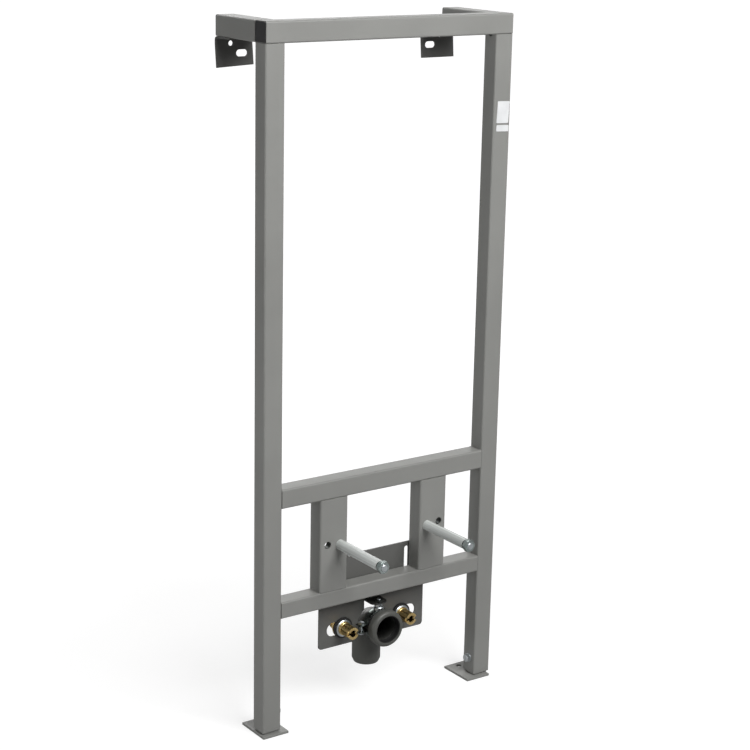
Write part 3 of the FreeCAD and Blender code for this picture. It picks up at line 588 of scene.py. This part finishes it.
# %% [markdown]
# ## Threads
# A thread is a V-shaped line carried round the axis and along it at the same time. `spin` does both:
# its `dvec` moves the line a little at every step, so one turn climbs by one pitch. A long spin is
# slow, so one turn is spun, and then everything there is copied on top of itself until the helix runs
# past both ends. The ends are cut flat with `bisect_plane`, and the first turn is drawn in to a cone,
# as the real one is, so that a nut starts easily. A pipe thread is hollow, so it has a second line
# along its bore, and `triangle_fill` closes each end between the two.

# %% Thread
THREAD_STEPS = 24
THREAD_DEPTH = 0.61
M12_PITCH = 1.75 * MM
M8_PITCH = 1.25 * MM
M6_PITCH = 1.0 * MM
PIPE_PITCH = 1.814 * MM
CUT = 0.000001


def add_thread(form, radius, pitch, length, bore=0.0):
    """A threaded stud from 0 up to length, with coned ends; the form has to be empty."""
    core = radius - THREAD_DEPTH * pitch
    thread = [(core, 0.0), (core, 0.12 * pitch), (radius, 0.44 * pitch), (radius, 0.56 * pitch),
              (core, 0.88 * pitch), (core, pitch)]
    for line in [thread] + ([[(bore, 0.0), (bore, pitch)]] if bore else []):
        verts = [form.verts.new((across, 0.0, along - pitch)) for across, along in line]
        edges = [form.edges.new(pair) for pair in zip(verts, verts[1:])]
        bmesh.ops.spin(form, geom=verts + edges, axis=(0, 0, 1), dvec=(0, 0, pitch / THREAD_STEPS),
                       angle=2 * math.pi, steps=THREAD_STEPS)
    turns = 1
    while turns < length / pitch + 2:
        copied = bmesh.ops.duplicate(form, geom=everything(form))["geom"]
        moved = [item for item in copied if isinstance(item, bmesh.types.BMVert)]
        bmesh.ops.translate(form, verts=moved, vec=(0, 0, turns * pitch))
        turns *= 2
    merge(form)
    for level, outwards in ((0.0, -1), (length, 1)):
        bmesh.ops.bisect_plane(form, geom=everything(form), dist=CUT, plane_co=(0, 0, level),
                               plane_no=(0, 0, outwards), clear_outer=True)
    for vert in form.verts:
        allowed = core + min(vert.co.z, length - vert.co.z)
        if allowed < vert.co.xy.length:
            vert.co.x, vert.co.y = (value * allowed / vert.co.xy.length for value in vert.co.xy)
    for level, outwards in ((0.0, -1), (length, 1)):
        end = [edge for edge in form.edges if edge.is_boundary
               and all(abs(vert.co.z - level) < SEAM for vert in edge.verts)]
        bmesh.ops.triangle_fill(form, use_beauty=True, edges=end, normal=(0, 0, outwards))


print("an M12 thread has a core of", round(12 - 2 * THREAD_DEPTH * M12_PITCH / MM, 2), "mm")

# %% [markdown]
# ## Rods
# Each rod is a length of M12 threaded bar. It runs through a nut welded behind the channel, a milky
# sleeve and a dark ring, and carries a nut near its tip.

# %% Rods and their nuts
for side, _ in SIDES:
    rod = f"threaded_rod_{side}"
    form = bmesh.new()
    rod_radius = extent(rod).z / 2
    add_thread(form, rod_radius, M12_PITCH, extent(rod).y)
    place_form(form, at_front(rod), TO_BACK)
    finish_piece(f"m12_rod_{side}", form, zinc, "frame", [rod])
    for node, name, metal in ((f"rod_end_nut_{side}", "end_nut", nut_zinc),
                              (f"weld_nuts_{side}", "weld_nut", zinc)):
        form = bmesh.new()
        add_hexagon(form, extent(node).z, extent(node).y, bore=rod_radius)
        place_form(form, at_front(node), TO_BACK)
        finish_piece(f"{name}_{side}", form, metal, "frame", [node])

# %% [markdown]
# ## Nuts behind the spare holes
# Each channel has a second hole further out, for a bidet with a wider spacing. The same nut is welded
# behind it, which is why so little light comes through the hole when it is seen from one side.
# Their zinc is painted near black, as shade, so the holes look dark inside.

# %% Spare nuts
SPARE_SHIFT = 25 * MM
SPARE_RISE = 3 * MM
THREAD_CUT = 0.7 * MM
for side, sign in SIDES:
    nut = f"weld_nuts_{side}"
    form = bmesh.new()
    add_hexagon(form, extent(nut).z, extent(nut).y, bore=rod_radius - THREAD_CUT)
    place_form(form, at_front(nut) + Vector((sign * SPARE_SHIFT, 0, SPARE_RISE)), TO_BACK)
    finish_piece(f"spare_nut_{side}", form, zinc_painted_shade, "frame")

# %% [markdown]
# ## A pip on the left sleeve
# The left sleeve has a small nub under it, near the channel. It is a low dome: an outline turned
# about its own axis, sunk a little into the sleeve.

# %% Sleeve pip
PIP_RADIUS = 2.3 * MM
PIP_RISE = 1.9 * MM
PIP_PLACE = 34 * MM
PIP_TURN = math.radians(-145)
sleeve = "rod_sleeve_left"
form = bmesh.new()
turn_profile(form, [
    (0.0, -PIP_RISE), (PIP_RADIUS, -PIP_RISE), (PIP_RADIUS, 0.4 * PIP_RISE),
    (0.7 * PIP_RADIUS, 0.85 * PIP_RISE), (0.0, PIP_RISE)], steps=16, closed=False)
below_left = Matrix.Rotation(PIP_TURN, 4, "Y")
on_skin = below_left @ Vector((0, 0, extent(sleeve).z / 2))
on_axis = Vector((middle(sleeve).x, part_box(sleeve)[1][1] - PIP_PLACE, middle(sleeve).z))
place_form(form, on_axis + on_skin, below_left)
finish_piece("sleeve_pip", form, pip_plastic, "frame")

# %% [markdown]
# ## Bolts for the feet and the plate
# An M8 bolt with a washer presses on each foot's leg, so that the foot keeps its height. Two more hold
# the fitting plate to the back of the low bar, through its long slots. A washer is punched from sheet,
# with one rounded and one sharp edge. The head is the hexagon from above without a bore.

# %% Washer and bolt
M8_RADIUS = 4 * MM
M8_FLATS = 13 * MM
WASHER_SHEET = 1.6 * MM
PUNCH_ROUND = 0.4 * MM
BITE = 0.2 * MM


def add_washer(form, radius, bore, sheet, base=0.0):
    """A punched washer with one rounded edge, from base upwards."""
    turn_profile(form, [
        (bore, base), (radius - PUNCH_ROUND / 2, base), (radius, base + PUNCH_ROUND / 2),
        (radius, base + sheet - PUNCH_ROUND),
        (radius - 0.3 * PUNCH_ROUND, base + sheet - 0.3 * PUNCH_ROUND),
        (radius - PUNCH_ROUND, base + sheet), (bore + PUNCH_ROUND, base + sheet),
        (bore, base + sheet - PUNCH_ROUND)])


def add_bolt(form, shank, washer_radius, head):
    """A shank from 0 upwards, then a washer, then a head; the form has to be empty."""
    add_thread(form, M8_RADIUS, M8_PITCH, shank + WASHER_SHEET)
    add_washer(form, washer_radius, M8_RADIUS - BITE, WASHER_SHEET, shank)
    add_hexagon(form, M8_FLATS, head, base=shank + WASHER_SHEET)


FOOT_BOLT_HEAD = 6 * MM
FOOT_BOLT_SHIFT = {"left": 3 * MM, "right": 0.0}
for side, sign in SIDES:
    node = f"foot_bolt_{side}"
    form = bmesh.new()
    add_bolt(form, extent(node).x - WASHER_SHEET - FOOT_BOLT_HEAD, extent(node).z / 2, FOOT_BOLT_HEAD)
    start = middle(node) + Vector((sign * extent(node).x / 2, FOOT_BOLT_SHIFT[side], 0))
    place_form(form, start, Matrix.Rotation(math.radians(-90 * sign), 4, "Y"))
    finish_piece(f"leg_bolt_{side}", form, zinc, "frame", [node])

# %% Plate bolts
PLATE_BOLT_HEAD = 5.3 * MM
plate_bolts = bmesh.new()
bolt_washer = extent("plate_screws").z / 2
for _, sign in SIDES:
    form = bmesh.new()
    add_bolt(form, extent("plate_screws").y - WASHER_SHEET - PLATE_BOLT_HEAD, bolt_washer,
             PLATE_BOLT_HEAD)
    across = Vector((sign * (extent("plate_screws").x / 2 - bolt_washer), 0, 0))
    place_form(form, at_front("plate_screws") + across, TO_BACK)
    add_form(plate_bolts, form)
finish_piece("plate_bolts", plate_bolts, zinc, "frame", ["plate_screws"])

# %% [markdown]
# ## The pipe clamp
# The drain elbow hangs in a two-part clamp: two bent bands with lugs, an M6 screw through each pair of
# lugs, a rubber lining with lips, and a stud that goes up through the tab. The bands come from the
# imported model: a copy of that mesh has its triangles merged and its edges rounded. The lining is
# turned from its own outline, with round lips. The stud stands on a disc welded to the band, which
# comes down over the band's curve.

# %% Clamp bands
FLAT_ENOUGH = math.radians(0.5)
BAND_ROUND = 0.35 * MM


def softened_copy(node, width):
    """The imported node's mesh as a form, with merged faces and rounded edges."""
    form = bmesh.new()
    form.from_mesh(frame["nodes"][node].data)
    merge(form)
    bmesh.ops.dissolve_limit(form, angle_limit=FLAT_ENOUGH, verts=form.verts, edges=form.edges)
    soften(form, width)
    return form


for half in ("upper", "lower"):
    node = f"clamp_half_{half}"
    finish_piece(f"clamp_band_{half}", softened_copy(node, BAND_ROUND), band_zinc,
                 "fitting_carriage", [node])

# %% Turned rings with round corners
ARC_STEPS = 3
EDGE_SHARE = 2.2


def round_corners(points, radius):
    """A closed outline whose corners are replaced by short arcs."""
    rounded = []
    for index, corner in enumerate(points):
        here = Vector(corner)
        before, after = Vector(points[index - 1]), Vector(points[(index + 1) % len(points)])
        first = here + (before - here).normalized() * min(radius, (before - here).length / EDGE_SHARE)
        last = here + (after - here).normalized() * min(radius, (after - here).length / EDGE_SHARE)
        for step in range(ARC_STEPS + 1):
            share = step / ARC_STEPS
            rounded.append(((1 - share) ** 2 * first + 2 * share * (1 - share) * here
                            + share ** 2 * last))
    return [tuple(point) for point in rounded]


def turned_piece(name, outline, corner, place, turn, material, node, steps=SEGMENTS):
    """A ring on the fitting carriage, turned from an outline with rounded corners."""
    form = bmesh.new()
    turn_profile(form, round_corners(outline, corner), steps=steps)
    place_form(form, place, turn)
    finish_piece(name, form, material, "fitting_carriage", [node])


print("each corner becomes", ARC_STEPS, "short edges")

# %% Clamp lining
RING_STEPS = 64
LINING_SHEET = 1.6 * MM
LINING_ROUND = 0.7 * MM
LIP_RISE = 1.6 * MM
lining = "clamp_lining"
lining_outer = extent(lining).z / 2
lining_inner = lining_outer - LIP_RISE - LINING_SHEET + BITE
lining_floor = lining_outer - LIP_RISE
lining_long = extent(lining).y
outline = [(lining_inner, 0.0), (lining_outer, 0.0), (lining_outer, LINING_SHEET),
           (lining_floor, LINING_SHEET), (lining_floor, lining_long - LINING_SHEET),
           (lining_outer, lining_long - LINING_SHEET), (lining_outer, lining_long),
           (lining_inner, lining_long)]
turned_piece("clamp_rubber", outline, LINING_ROUND, at_front(lining), TO_BACK, black_rubber,
             lining, steps=RING_STEPS)

# %% Clamp screws
M6_RADIUS = 3 * MM
M6_FLATS = 10 * MM
LUG_NUT = 4 * MM
clamp_screws = bmesh.new()
for _, sign in SIDES:
    form = bmesh.new()
    tall = extent("clamp_screws").z
    add_thread(form, M6_RADIUS, M6_PITCH, tall - LUG_NUT)
    add_hexagon(form, M6_FLATS, LUG_NUT, bore=M6_RADIUS)
    add_hexagon(form, M6_FLATS, LUG_NUT, base=tall - LUG_NUT)
    across = Vector((sign * (extent("clamp_screws").x / 2 - M6_FLATS / math.sqrt(3)), 0, -tall / 2))
    place_form(form, middle("clamp_screws") + across)
    add_form(clamp_screws, form)
finish_piece("lug_screws", clamp_screws, zinc, "fitting_carriage", ["clamp_screws"])

# %% Clamp stud and its nut
BASE_DISC = 4 * MM
DISC_SINK = 1.5 * MM
DISC_EDGE = 1.2 * MM
stud_low, stud_high = (corner[2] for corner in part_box("clamp_stud"))
nut_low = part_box("clamp_stud_nut")[0][2]
TAB_SHEET = 2.5 * MM
form = bmesh.new()
add_thread(form, M8_RADIUS, M8_PITCH, stud_high - stud_low)
add_hexagon(form, M8_FLATS, nut_low - TAB_SHEET - stud_low - BASE_DISC, base=BASE_DISC)
disc_radius = extent("clamp_stud").y / 2
disc = [(0.0, -DISC_SINK), (disc_radius, -DISC_SINK), (disc_radius, BASE_DISC - DISC_EDGE),
        (disc_radius - DISC_EDGE, BASE_DISC), (0.0, BASE_DISC)]
turn_profile(form, disc, closed=False)
place_form(form, Vector((middle("clamp_stud").x, middle("clamp_stud").y, stud_low)))
finish_piece("hanger_stud", form, zinc, "fitting_carriage", ["clamp_stud"])

form = bmesh.new()
add_hexagon(form, M8_FLATS, extent("clamp_stud_nut").z, bore=M8_RADIUS)
place_form(form, middle("clamp_stud_nut") - Vector((0, 0, extent("clamp_stud_nut").z / 2)))
# The nut on the tab is painted near black, as the shade under the low bar.
finish_piece("hanger_nut", form, zinc_painted_shade, "fitting_carriage", ["clamp_stud_nut"])

# %% [markdown]
# ## Water outlets
# A brass outlet passes through each side slot. Its nose has eight ribs, so that a wet hand can hold
# it, and two slots across its mouth for a key. A tube has the faces between its ribs set in with
# `inset_region`, and the quads of its rim that become lugs are raised with `extrude_face_region`,
# which keeps the faces it started from, so those are deleted. A plated washer and a rubber gasket lie
# in front of the plate. Behind it are a pipe thread and a flanged lock nut.

# %% Outlet nose
RIBS = 8
RIB_STEPS = 5
RIM_STEPS = RIB_STEPS * RIBS
SLOT_STEPS = 4
GROOVE_DEPTH = 2.6 * MM
LUG_RISE = 4.5 * MM
OUTLET_BORE = 6 * MM
OUTLET_TAIL = 10.4 * MM
NOSE_MARGIN = 0.6 * MM
NOSE_SKIN = 0.5 * MM
RIB_SHOULDER = 0.35 * MM


def add_nose(form, radius, length):
    """A ribbed tube from 0 to length, whose last part is cut into lugs."""
    wall_end = length - LUG_RISE
    turn_profile(form, [(OUTLET_BORE, 0.0), (radius, 0.0), (radius, NOSE_MARGIN),
                        (radius, wall_end - NOSE_MARGIN), (radius, wall_end),
                        (OUTLET_BORE, wall_end)], steps=RIM_STEPS)
    merge(form)
    bmesh.ops.recalc_face_normals(form, faces=form.faces)
    ribbed = [face for face in form.faces if face_turn(face) % RIB_STEPS > 2
              and NOSE_MARGIN < face.calc_center_median().z < wall_end - NOSE_MARGIN
              and face.calc_center_median().xy.length > radius - NOSE_SKIN]
    bmesh.ops.inset_region(form, faces=ribbed, thickness=RIB_SHOULDER, depth=-GROOVE_DEPTH,
                           use_even_offset=True, use_boundary=True)
    rim = [face for face in form.faces if face.calc_center_median().z > wall_end - SEAM
           and (face_turn(face) + SLOT_STEPS // 2) % (RIM_STEPS // 2) >= SLOT_STEPS]
    raised = bmesh.ops.extrude_face_region(form, geom=rim)["geom"]
    bmesh.ops.translate(form, verts=[item for item in raised if isinstance(item, bmesh.types.BMVert)],
                        vec=(0, 0, LUG_RISE))
    bmesh.ops.delete(form, geom=rim, context="FACES")


def face_turn(face):
    """Which step round the axis a face stands at."""
    place = face.calc_center_median()
    return int(math.atan2(place.y, place.x) / (2 * math.pi) * RIM_STEPS + RIM_STEPS) % RIM_STEPS


print("ribs:", RIBS, "of", 360 / RIM_STEPS * (RIB_STEPS - 2), "degrees each")

# %% Outlets with their washers, gaskets and lock nuts
NOSE_RADIUS = 10.75 * MM
NOSE_ROOT = 12 * MM
NOSE_SLEEVE = 7.5 * MM
NOSE_ROUND = 0.25 * MM
ROOT_TOP = 4.5 * MM
ROOT_CONE = 6 * MM
WASHER_RADIUS = 15.3 * MM
WASHER_RIM = 1.2 * MM
WASHER_TOP = 2.6 * MM
WASHER_SHOULDER = NOSE_ROOT + 1.5 * MM
GASKET_ROUND = 1 * MM
LOCK_NUT_FLATS = 27 * MM
LOCK_NUT_FLANGE = 2 * MM
TURNED_ROUND = 0.5 * MM
for side, _ in SIDES:
    outlet, gasket, nut = (f"{kind}_{side}" for kind in ("water_fitting", "fitting_gasket", "lock_nut"))
    flange_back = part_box(gasket)[0][1]
    nose_long = flange_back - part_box(outlet)[0][1]
    tail_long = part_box(outlet)[1][1] - flange_back
    centre = Vector((middle(outlet).x, flange_back, middle(outlet).z))
    form = bmesh.new()
    add_nose(form, NOSE_RADIUS, nose_long)
    soften(form, NOSE_ROUND)
    turn_profile(form, round_corners([
        (NOSE_SLEEVE, BITE), (NOSE_ROOT, BITE), (NOSE_ROOT, ROOT_TOP), (NOSE_RADIUS, ROOT_CONE),
        (NOSE_SLEEVE, ROOT_CONE)], TURNED_ROUND))
    place_form(form, centre, TO_FRONT)
    finish_piece(f"outlet_nose_{side}", form, brass, "fitting_carriage", [outlet])

    form = bmesh.new()
    add_thread(form, OUTLET_TAIL, PIPE_PITCH, tail_long, bore=OUTLET_BORE)
    place_form(form, centre, TO_BACK)
    finish_piece(f"outlet_thread_{side}", form, brass, "fitting_carriage", [outlet])

    plated = [(NOSE_ROOT - BITE, 0.0), (WASHER_RADIUS, 0.0), (WASHER_RADIUS, WASHER_RIM),
              (WASHER_SHOULDER, WASHER_TOP), (NOSE_ROOT - BITE, WASHER_TOP)]
    turned_piece(f"outlet_washer_{side}", plated, TURNED_ROUND, centre, TO_FRONT, zinc,
                 outlet)
    rubber = [(OUTLET_TAIL, 0.0), (extent(gasket).z / 2, 0.0),
              (extent(gasket).z / 2, extent(gasket).y), (OUTLET_TAIL, extent(gasket).y)]
    turned_piece(f"outlet_gasket_{side}", rubber, GASKET_ROUND, at_front(gasket), TO_BACK,
                 black_rubber, gasket)

    form = bmesh.new()
    add_hexagon(form, LOCK_NUT_FLATS, extent(nut).y - LOCK_NUT_FLANGE, bore=OUTLET_TAIL,
                base=LOCK_NUT_FLANGE)
    add_washer(form, extent(nut).z / 2, OUTLET_TAIL, LOCK_NUT_FLANGE)
    place_form(form, at_front(nut), TO_BACK)
    finish_piece(f"outlet_nut_{side}", form, brass, "fitting_carriage", [nut])

# %% [markdown]
# ## Drain elbow and its seal
# The end of a drain pipe is bevelled, so that it slides into the next socket without catching the seal
# there. The imported elbow ends square. A copy of its mesh is cut round with `bisect_plane` a little
# above the end, without taking anything away, and the points below are drawn in towards the axis.
# The seal in the mouth is a thick ring in the collar's groove, with a lip that leans inwards and grips
# the pipe. A thin black sheet runs on from it and lines the mouth: it is painted shade, which keeps the
# mouth's inside dark. It is one outline turned about the mouth's axis.

# %% Elbow with a bevelled end
BEVEL_HIGH = 7 * MM
BEVEL_SHARE = 0.12
PIPE_OUTER = 25 * MM
ELBOW_ROUND = 0.4 * MM
elbow = "drain_elbow"
form = softened_copy(elbow, ELBOW_ROUND)
bevel_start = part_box(elbow)[0][2] + BEVEL_HIGH
bmesh.ops.bisect_plane(form, geom=everything(form), dist=CUT, plane_co=(0, 0, bevel_start),
                       plane_no=(0, 0, 1))
axis = Vector((middle(elbow).x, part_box(elbow)[1][1] - PIPE_OUTER, 0.0))
for vert in form.verts:
    below = (bevel_start - vert.co.z) / BEVEL_HIGH
    if below > 0:
        vert.co.xy = axis.xy + (vert.co.xy - axis.xy) * (1 - BEVEL_SHARE * below)
finish_piece("bevelled_elbow", form, grey_plastic, "fitting_carriage", [elbow])

# %% Seal
seal = "drain_seal"
seal_outer = extent(seal).z / 2
seal_long = extent(seal).y
LIP_RADIUS = 22.5 * MM
LIP_LEAN = 2.2 * MM
LIP_EDGE = 0.6 * MM
LIP_ROOT = 4.6 * MM
MOUTH_SHADE_SHEET_RADIUS = 23.4 * MM
MOUTH_SHADE_SHEET_OUTER = 24.4 * MM
MOUTH_SHADE_SHEET_LONG = 3.4 * MM
SEAL_ROUND = 0.4 * MM
# The points that reach forward past 0 draw the thin black sheet in the mouth, which is painted shade.
outline = [
    (seal_outer, 0.0), (seal_outer, seal_long), (LIP_RADIUS + LIP_LEAN, seal_long),
    (LIP_RADIUS, seal_long - LIP_EDGE), (LIP_RADIUS, seal_long - LIP_LEAN),
    (MOUTH_SHADE_SHEET_RADIUS, seal_long - LIP_ROOT), (MOUTH_SHADE_SHEET_RADIUS, -MOUTH_SHADE_SHEET_LONG), (MOUTH_SHADE_SHEET_OUTER, -MOUTH_SHADE_SHEET_LONG),
    (MOUTH_SHADE_SHEET_OUTER, 0.0)]
turned_piece("mouth_seal", outline, SEAL_ROUND, at_front(seal), TO_BACK, black_rubber,
             seal, steps=RING_STEPS)

# %% [markdown]
# ## Weld seams
# The bars meet the posts in butt joints, welded at the back, where a tiled wall hides the seams. A
# seam is a row of overlapping flat scales, one for each pause of the torch. Each scale is a small
# icosphere pressed flat, and the whole row is one mesh under the same powder coat.

# %% Welds
SCALE_STEP = 1.7 * MM
SEAM_WIDTH = 2.6 * MM
SEAM_HEIGHT = 0.9 * MM
SCALE_LONG = 1.5 * MM
SWAY = 0.25 * MM
SWELL = 0.12


def add_seam(form, start, end, outwards):
    """Flat scales from start to end, on a face that looks outwards."""
    start, outwards = Vector(start), Vector(outwards)
    run = Vector(end) - start
    count = int(run.length / SCALE_STEP)
    across = run.normalized().cross(outwards)
    frame_of_scale = Matrix((across, run.normalized(), outwards)).transposed().to_4x4()
    for index in range(count + 1):
        sway = SWAY * math.sin(2.4 * index)
        place = start + run * (index / count) + across * sway
        swell = 1 + SWELL * math.sin(1.7 * index)
        matrix = (Matrix.Translation(place) @ frame_of_scale
                  @ Matrix.Diagonal((SEAM_WIDTH * swell, SCALE_LONG, SEAM_HEIGHT * swell, 1)))
        bmesh.ops.create_icosphere(form, subdivisions=1, radius=1.0, matrix=matrix)


def seam_level(node, share):
    """A height within the node, as a share of it from the bottom."""
    low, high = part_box(node)
    return low[2] + share * (high[2] - low[2])


print("a 35 mm seam has", int(35 * MM / SCALE_STEP) + 1, "scales")

# %% Seams on the frame's back
CHANNEL_FRONT_BEND = 8 * MM
CHANNEL_BACK_EDGE = 4 * MM
back = (0, 1, 0)
form = bmesh.new()
for side, sign in SIDES:
    post = f"post_{side}"
    inner_x = middle(post).x - sign * extent(post).x / 2
    back_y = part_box(post)[1][1]
    for bar in ("mid_bar", "low_bar"):
        add_seam(form, (inner_x, back_y, seam_level(bar, 0.05)),
                 (inner_x, back_y, seam_level(bar, 0.95)), back)
    post_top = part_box(post)[1][2]
    half_wide = 0.42 * extent(post).x
    add_seam(form, (middle(post).x - half_wide, back_y, post_top),
             (middle(post).x + half_wide, back_y, post_top), back)
    channel = f"rod_channel_{side}"
    for level in (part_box(channel)[0][2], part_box(channel)[1][2]):
        for edge in (-1, 1):
            edge_x = middle(channel).x + edge * extent(channel).x / 2
            add_seam(form, (edge_x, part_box(channel)[0][1] + CHANNEL_FRONT_BEND, level),
                     (edge_x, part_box(channel)[1][1] - CHANNEL_BACK_EDGE, level), (edge, 0, 0))
    arm = f"arm_{side}"
    edge_x = middle(arm).x - sign * extent(arm).x / 2
    add_seam(form, (edge_x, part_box(arm)[0][1], seam_level(arm, 0.12)),
             (edge_x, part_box(arm)[0][1], seam_level(arm, 0.88)), (-sign, 0, 0))
finish_piece("weld_seams", form, grey_coat, "frame")

# %% [markdown]
# ## Labels
# Two blank labels are stuck on the front of the right post, a tall one over a low one. Paper is so
# thin that only its edge shows, so each is a flat block with rounded corners, a quarter of a
# millimetre thick, and a little askew, as a hand puts it on.

# %% Labels
PAPER = 0.25 * MM
LABEL_MIDDLE = 225.9
LABELS = {"upper_label": (LABEL_MIDDLE, 1017.8, 25.0, 36.5),
          "lower_label": (LABEL_MIDDLE, 991.0, 26.0, 10.7)}
LABEL_LEAN = math.radians(2.5)
LABEL_ROUND = 1.5 * MM
post_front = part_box("post_right")[0][1]
for name, (x, z, wide, high) in LABELS.items():
    form = bmesh.new()
    bmesh.ops.create_cube(form, size=1.0, matrix=Matrix.Diagonal((wide * MM, PAPER, high * MM, 1)))
    corners = [edge for edge in form.edges if abs(edge.verts[0].co.y - edge.verts[1].co.y) > PAPER / 2]
    bmesh.ops.bevel(form, geom=corners, offset=LABEL_ROUND, segments=4, profile=0.5,
                    affect="EDGES", material=-1)
    place_form(form, Vector((x * MM, post_front - PAPER / 2, z * MM)),
               Matrix.Rotation(LABEL_LEAN, 4, "Y"))
    finish_piece(name, form, label_paper, "frame")

# %% [markdown]
# ## Floor and light
# The floor is a wide pale sheet, so that it fills the view up to the horizon. The camera sees it
# nearly white, but it throws back only a little light, or the frame would be lit from below as much
# as from above: Light Path tells the two apart. The sky is white to the camera too, and sheds only a
# little light, more from behind than from the front, like a backdrop, while reflections see it
# brighter, so that metal has something to mirror. It is brightest low down behind the frame, where
# the bars' top faces mirror it and look pale. One large lamp, high in front, makes the upper half
# brighter than the feet, and weak ones fill in the left side and the back.

# %% Floor
FLOOR_HALF = 40.0
FLOOR_GREY = (0.4, 0.4, 0.4, 1.0)
FLOOR_GLOW = 0.06
form = bmesh.new()
bmesh.ops.create_grid(form, x_segments=1, y_segments=1, size=FLOOR_HALF)
floor = object_of("floor", form)
floor_paint, floor_tree, floor_shader = new_material("floor_paint")
floor_shader.inputs["Base Color"].default_value = FLOOR_GREY
floor_shader.inputs["Roughness"].default_value = 0.9
floor_shader.inputs["Specular IOR Level"].default_value = 0.0
floor_shader.inputs["Emission Color"].default_value = (1.0, 1.0, 1.0, 1.0)
floor_place = add_node(floor_tree, "ShaderNodeTexCoord")
floor_reach = add_node(floor_tree, "ShaderNodeVectorMath", operation="LENGTH")
join(floor_tree, floor_place.outputs["Object"], floor_reach.inputs[0])
floor_path = add_node(floor_tree, "ShaderNodeLightPath")
# The camera-only glow grows from 0.66 near the middle to 1.0 three metres out: painted brightening of
# the far floor.
floor_glow = add_node(floor_tree, "ShaderNodeMath", operation="MULTIPLY_ADD")
join(floor_tree, floor_path.outputs["Is Camera Ray"], floor_glow.inputs[0])
join(floor_tree, ramp(floor_tree, floor_reach.outputs["Value"], 0.6, 3.0, 0.66, 1.0),
     floor_glow.inputs[1])
floor_glow.inputs[2].default_value = FLOOR_GLOW
join(floor_tree, floor_glow.outputs["Value"], floor_shader.inputs["Emission Strength"])
paint(floor, floor_paint)
print("floor:", 2 * FLOOR_HALF, "m wide")

# %% Light
def add_lamp(name, place, aim, size, power):
    """A square soft lamp that shines from place towards aim."""
    lamp = bpy.data.objects.new(name, bpy.data.lights.new(name, "AREA"))
    lamp.data.size = size
    lamp.data.energy = power
    lamp.matrix_world = aimed(place, aim)
    scene.collection.objects.link(lamp)


SKY_FRONT = 0.012
SKY_BACKDROP = 0.036
SKY_REFLECTED = 0.35
SKY_GLEAM = 1.7
GLEAM_SIDE = (0.574, 0.812, 0.105)
SKY_SEEN = 1.0
world = bpy.data.worlds.new("studio")
world.use_nodes = True
sky = world.node_tree
sky_place = add_node(sky, "ShaderNodeTexCoord")
sky_parts = add_node(sky, "ShaderNodeSeparateXYZ")
join(sky, sky_place.outputs["Generated"], sky_parts.inputs["Vector"])
sky_path = add_node(sky, "ShaderNodeLightPath")
sky_gloss = add_node(sky, "ShaderNodeMix", data_type="FLOAT")
join(sky, sky_path.outputs["Is Glossy Ray"], sky_gloss.inputs["Factor"])
join(sky, ramp(sky, sky_parts.outputs["Y"], 0.1, 0.7, SKY_FRONT, SKY_BACKDROP), sky_gloss.inputs["A"])
sky_gleam = add_node(sky, "ShaderNodeVectorMath", operation="DOT_PRODUCT")
join(sky, sky_place.outputs["Generated"], sky_gleam.inputs[0])
sky_gleam.inputs[1].default_value = GLEAM_SIDE
join(sky, ramp(sky, sky_gleam.outputs["Value"], 0.86, 0.98, SKY_REFLECTED, SKY_GLEAM),
     sky_gloss.inputs["B"])
sky_strength = add_node(sky, "ShaderNodeMix", data_type="FLOAT")
join(sky, sky_path.outputs["Is Camera Ray"], sky_strength.inputs["Factor"])
join(sky, sky_gloss.outputs["Result"], sky_strength.inputs["A"])
sky_strength.inputs["B"].default_value = SKY_SEEN
join(sky, sky_strength.outputs["Result"], sky.nodes["Background"].inputs["Strength"])
sky.nodes["Background"].inputs["Color"].default_value = (1.0, 1.0, 1.0, 1.0)
scene.world = world
add_lamp("key", (0.2, -2.1, 2.5), (0.0, 0.0, 0.7), 2.0, 97.0)
add_lamp("left_fill", (-2.0, 0.5, 0.4), (0.0, 0.0, 0.45), 1.4, 15.0)
add_lamp("back_fill", (0.2, 2.5, 1.6), (0.0, 0.0, 0.6), 1.4, 26.0)
scene.view_settings.view_transform = "Standard"
print("lamps ready")

# %% Finish
print("scene built")
